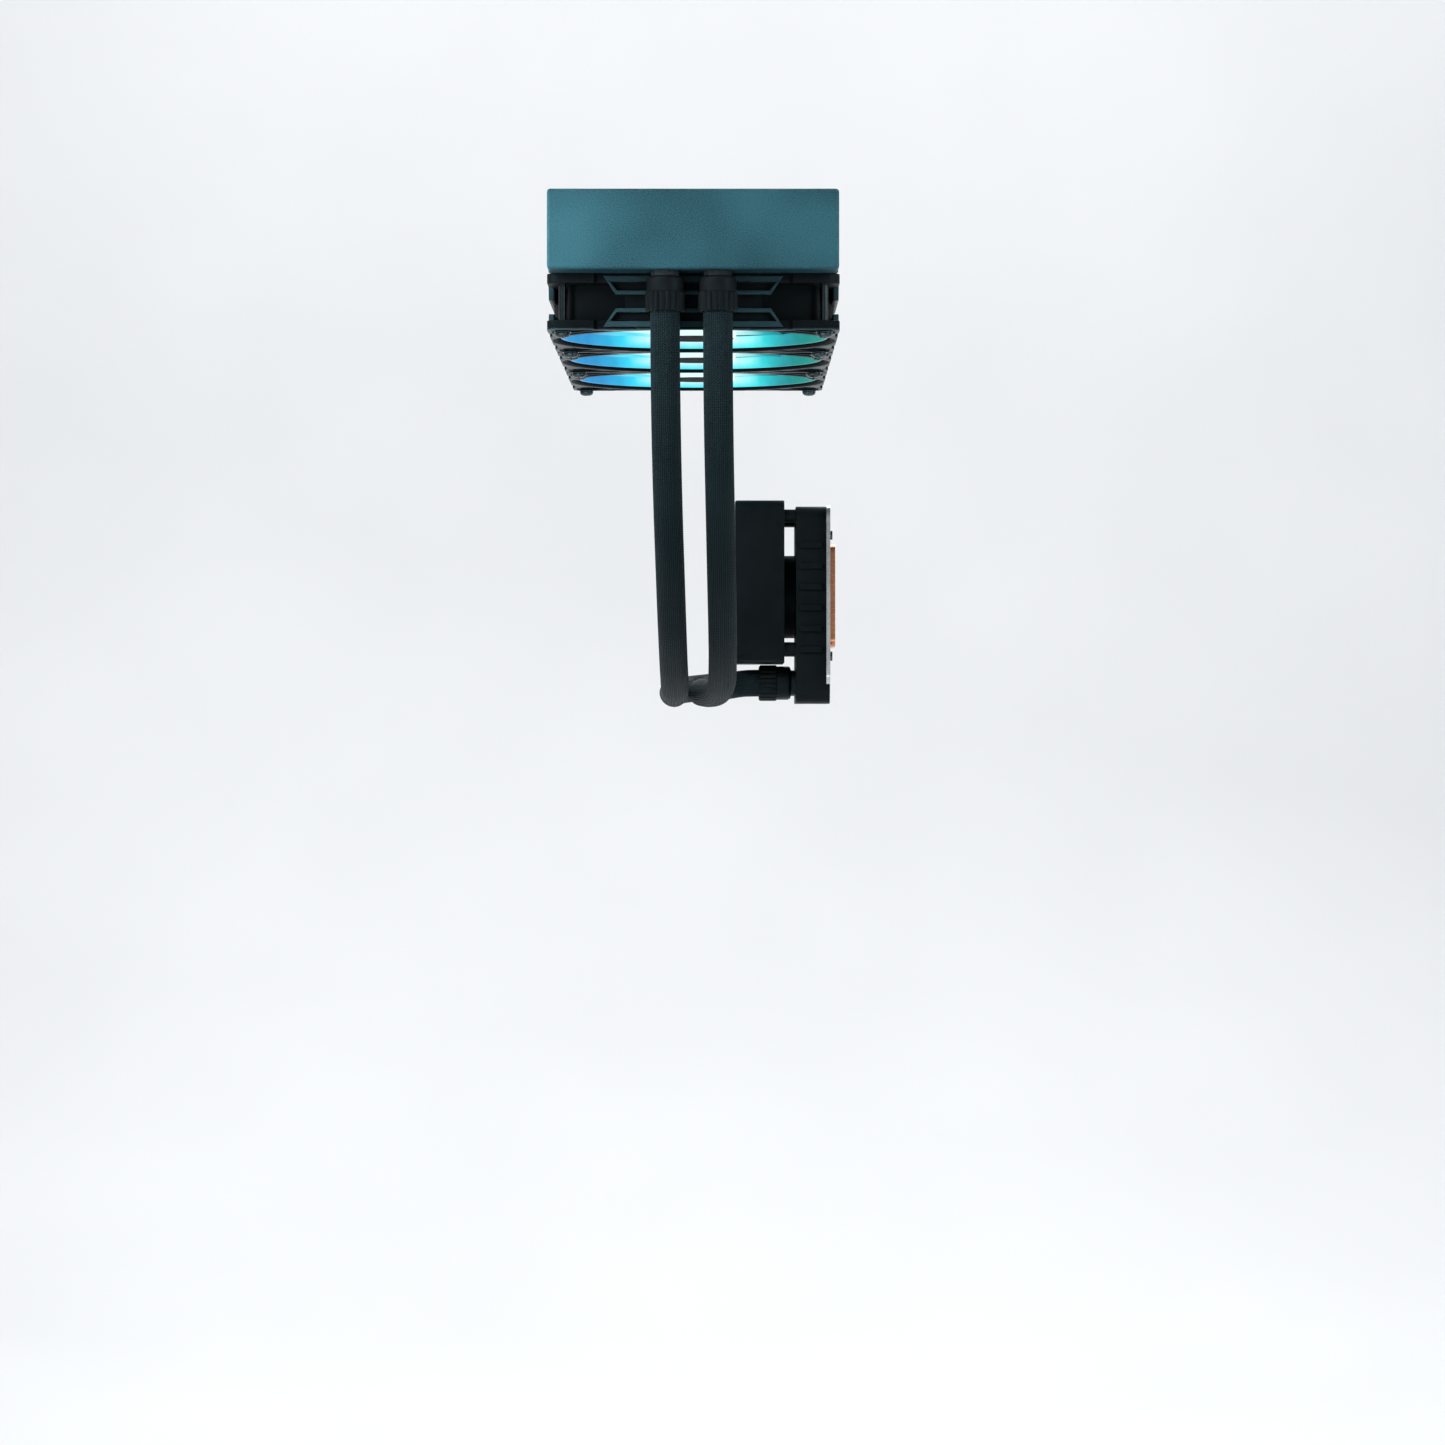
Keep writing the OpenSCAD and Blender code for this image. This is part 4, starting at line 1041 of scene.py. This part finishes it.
def cross_screw():
    """Pan-head machine screw, drawn head down from the washer's face."""
    profile = [(0, -HEAD_H), (1.6, -HEAD_H), (2.6, 0.25 - HEAD_H), (3.3, 0.8 - HEAD_H)]
    profile += [(HEAD_R, 1.5 - HEAD_H), (HEAD_R, -0.2), (HEAD_R - 0.3, 0), (SCREW_R, 0)]
    profile += [*thread(THREAD_START, THREAD_END), (1.2, SHANK_L), (0, SHANK_L)]
    recess = []
    for k in range(4):
        arm = [(CROSS_REACH, -CROSS_TIP), (CROSS_REACH, CROSS_TIP), (CROSS_HALF, CROSS_HALF)]
        recess += turned(arm, k * math.pi / 2)
    return cut(lathe(profile, 40), [plate(recess, [], -HEAD_H - 1, CROSS_DEPTH - HEAD_H)])


def make_screws():
    """The fan screws, each turned as it happened to stop, and their washers."""
    screws, washers = Shape("fan_screw_set"), Shape("fan_washer_set")
    washer = [(1.9, 0.1), (2, 0), (WASHER_R - 0.2, 0), (WASHER_R, 0.2), (WASHER_R, 0.6)]
    washer += [(WASHER_R - 0.2, WASHER_T), (2, WASHER_T), (1.9, 0.7)]
    one = cross_screw()
    for fan in FANS_Y:
        for i, k in crossing(1, 1):
            place = at(i * HOLE_HALF, fan + k * HOLE_HALF, -DEPTH - FAN_T - WASHER_T)
            turn = Matrix.Rotation(0.9 * i + 2.3 * k + 0.01 * fan, 4, "Z")
            screws.add(one.copy(), SCREW_STEEL, place @ turn)
            washers.add(lathe(washer, 40), SCREW_STEEL, place)
    show("fan_screw_set", screws.mesh(), ROOT, ["fan_screws"])
    show("fan_washer_set", washers.mesh(), ROOT, ["fan_washers"])


make_screws()

# ---- Pump block cover ----

SMALL_FAN_Z = -178
SLOT_PITCH = 6
SLOT_H = 3.2
SLOT_R = 27
COVER_DEPTH = 26
COVER_T = 2
COVER_R = 5
COVER_POST_R = 3.4
COVER_POST_L = 30.2
POST_INSET = 6.5
POSTS_Z = (-213, -143)


def make_cover():
    """A shell with round edges and air slots, open towards the base."""
    low, high = [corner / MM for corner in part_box("block_cover")]
    w, l = high.z - low.z, high.y - low.y
    mid_y, mid_z = (low.y + high.y) / 2, (low.z + high.z) / 2
    slots = []
    for i in range(-4, 5):
        up = i * SLOT_PITCH
        half = math.sqrt(SLOT_R ** 2 - up ** 2)
        ends = arc(half, 0, SLOT_H / 2, -90, 90, 6) + arc(-half, 0, SLOT_H / 2, 90, 270, 6)
        slots.append([(-(SMALL_FAN_Z - mid_z) + y + up, x) for x, y in ends])
    shape = Shape("block_cover_shell")
    stand = at(low.x, mid_y, mid_z) @ TO_PLUS_X
    outer = round_rect(w, l, COVER_R, 8)
    inner = round_rect(w - 2 * COVER_T, l - 2 * COVER_T, COVER_R - COVER_T, 8)
    shape.add(plate(outer, slots, 0, COVER_T, 0.9), COVER_PLASTIC, stand)
    shape.add(plate(outer, [inner], COVER_T - 1.1, COVER_DEPTH, 0.3), COVER_PLASTIC, stand)
    post = [(0, 0), (COVER_POST_R - 0.1, 0), (COVER_POST_R, 0.1)]
    post += [(COVER_POST_R, COVER_POST_L - 0.1), (COVER_POST_R - 0.1, COVER_POST_L), (0, COVER_POST_L)]
    for y in (-1, 1):
        for z in POSTS_Z:
            place = at(low.x + COVER_T, mid_y + y * (l / 2 - POST_INSET), z) @ TO_PLUS_X
            shape.add(lathe(post, 32), COVER_PLASTIC, place)
    show("block_cover_shell", shape.mesh(), ROOT, ["block_cover"])


make_cover()

# ---- CAD pieces that keep their shape ----

KEPT = {
    HEADER_METAL: ["front_header", "rear_header", "tank_divider", "jet_plate"],
    TUBE_COAT: ["flat_tubes"],
    RAIL_COAT: ["fill_plug"],
    SPIGOT_COAT: ["radiator_spigots", "pump_spigots"],
    HUB_PLATE: ["fan_1_hub_plate", "fan_2_hub_plate", "fan_3_hub_plate"],
    MAGNET: ["fan_1_magnet", "fan_2_magnet", "fan_3_magnet", "impeller_magnet", "cover_magnets"],
    BARE_STEEL: ["fan_1_shaft", "fan_2_shaft", "fan_3_shaft", "small_fan_shaft", "mounting_bars"],
    SCREW_STEEL: ["cold_plate_screws", "bar_screws"],
    BRONZE: ["fan_bearings", "small_fan_bearing"],
    COIL: ["fan_stators", "pump_stator", "small_fan_stator"],
    LED_BOARD: ["led_boards"],
    COPPER: ["cold_plate"],
    RUBBER: ["base_gasket"],
    PUMP_PLASTIC: ["pump_base", "pump_can", "motor_housing", "small_fan_frame", "small_fan_rotor"],
    IMPELLER: ["impeller"],
    CERAMIC: ["impeller_shaft"],
    GREEN_BOARD: ["pump_board"],
}
for material, nodes in KEPT.items():
    for node in nodes:
        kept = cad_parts[node]
        for held in kept.material_slots:
            held.link = "OBJECT"
            held.material = material

# ---- Floor, backdrop and light ----

FLOOR_Z = -1.0
FLOOR_FRONT = -6
FLOOR_HALF = 8
BEND_Y = 2.2
BEND_R = 1.2
WALL_TOP = 6


def make_stage():
    """A pale floor that curves up into a wall behind the object."""
    f = Finish("pale_floor", 0.8)
    f.set("Base Color", f.ramp(f.noise(400, 2), [(0.3, (0.78, 0.79, 0.80)), (0.7, (0.82, 0.83, 0.84))]))
    line = [(FLOOR_FRONT, FLOOR_Z), (BEND_Y, FLOOR_Z)]
    line += arc(BEND_Y, FLOOR_Z + BEND_R, BEND_R, -90, 0, 16)[1:]
    line.append((BEND_Y + BEND_R, WALL_TOP))
    part, _ = skin([[(x, y, z) for y, z in line] for x in (-FLOOR_HALF, FLOOR_HALF)], False, False)
    mesh = bpy.data.meshes.new("floor")
    part.to_mesh(mesh)
    part.free()
    mesh.materials.append(f.material)
    mesh.polygons.foreach_set("use_smooth", [True] * len(mesh.polygons))
    floor = bpy.data.objects.new("floor", mesh)
    bpy.context.scene.collection.objects.link(floor)


def soft_light(name, place, target, size, power, mirrored=True):
    """An area light of size metres that looks at a target; the camera doesn't see it."""
    data = bpy.data.lights.new(name, "AREA")
    data.shape = "RECTANGLE"
    data.size, data.size_y = size
    data.energy = power
    light = bpy.data.objects.new(name, data)
    light.location = place
    light.rotation_euler = (Vector(target) - Vector(place)).to_track_quat("-Z", "Y").to_euler()
    light.visible_camera = False
    light.visible_glossy = mirrored
    bpy.context.scene.collection.objects.link(light)


def make_world():
    world = bpy.data.worlds.new("studio")
    bpy.context.scene.world = world
    world.use_nodes = True
    back = world.node_tree.nodes["Background"]
    back.inputs["Color"].default_value = (0.93, 0.96, 1.0, 1)
    back.inputs["Strength"].default_value = 0.25
    bpy.context.scene.view_settings.view_transform = "Standard"


make_stage()
make_world()
MIDDLE = (0, 0, -0.12)
NEAR_SIZE = (0.1, 0.14)
soft_light("key", (-1.6, -2.2, 1.5), MIDDLE, (1.6, 1.6), 30)
soft_light("fill", (2.2, -1.4, 0.2), MIDDLE, (1.4, 2.0), 12)
soft_light("under", (-0.4, -1.2, -0.55), (0, 0, -0.05), (1.2, 0.6), 4)
soft_light("back", (0.6, 2.0, 1.4), MIDDLE, (1.6, 1.0), 40)
soft_light("wall", (0, 0.9, 2.4), (0, 3.4, 0), (3.0, 1.0), 80)
# Two small lights that shade the front tank from both ends
soft_light("near_left", (-0.22, -0.33, 0.0), (-0.06, -0.23, -0.02), NEAR_SIZE, 1.7, mirrored=False)
soft_light("near_right", (0.24, -0.34, 0.0), (0.07, -0.23, -0.02), NEAR_SIZE, 0.9, mirrored=False)
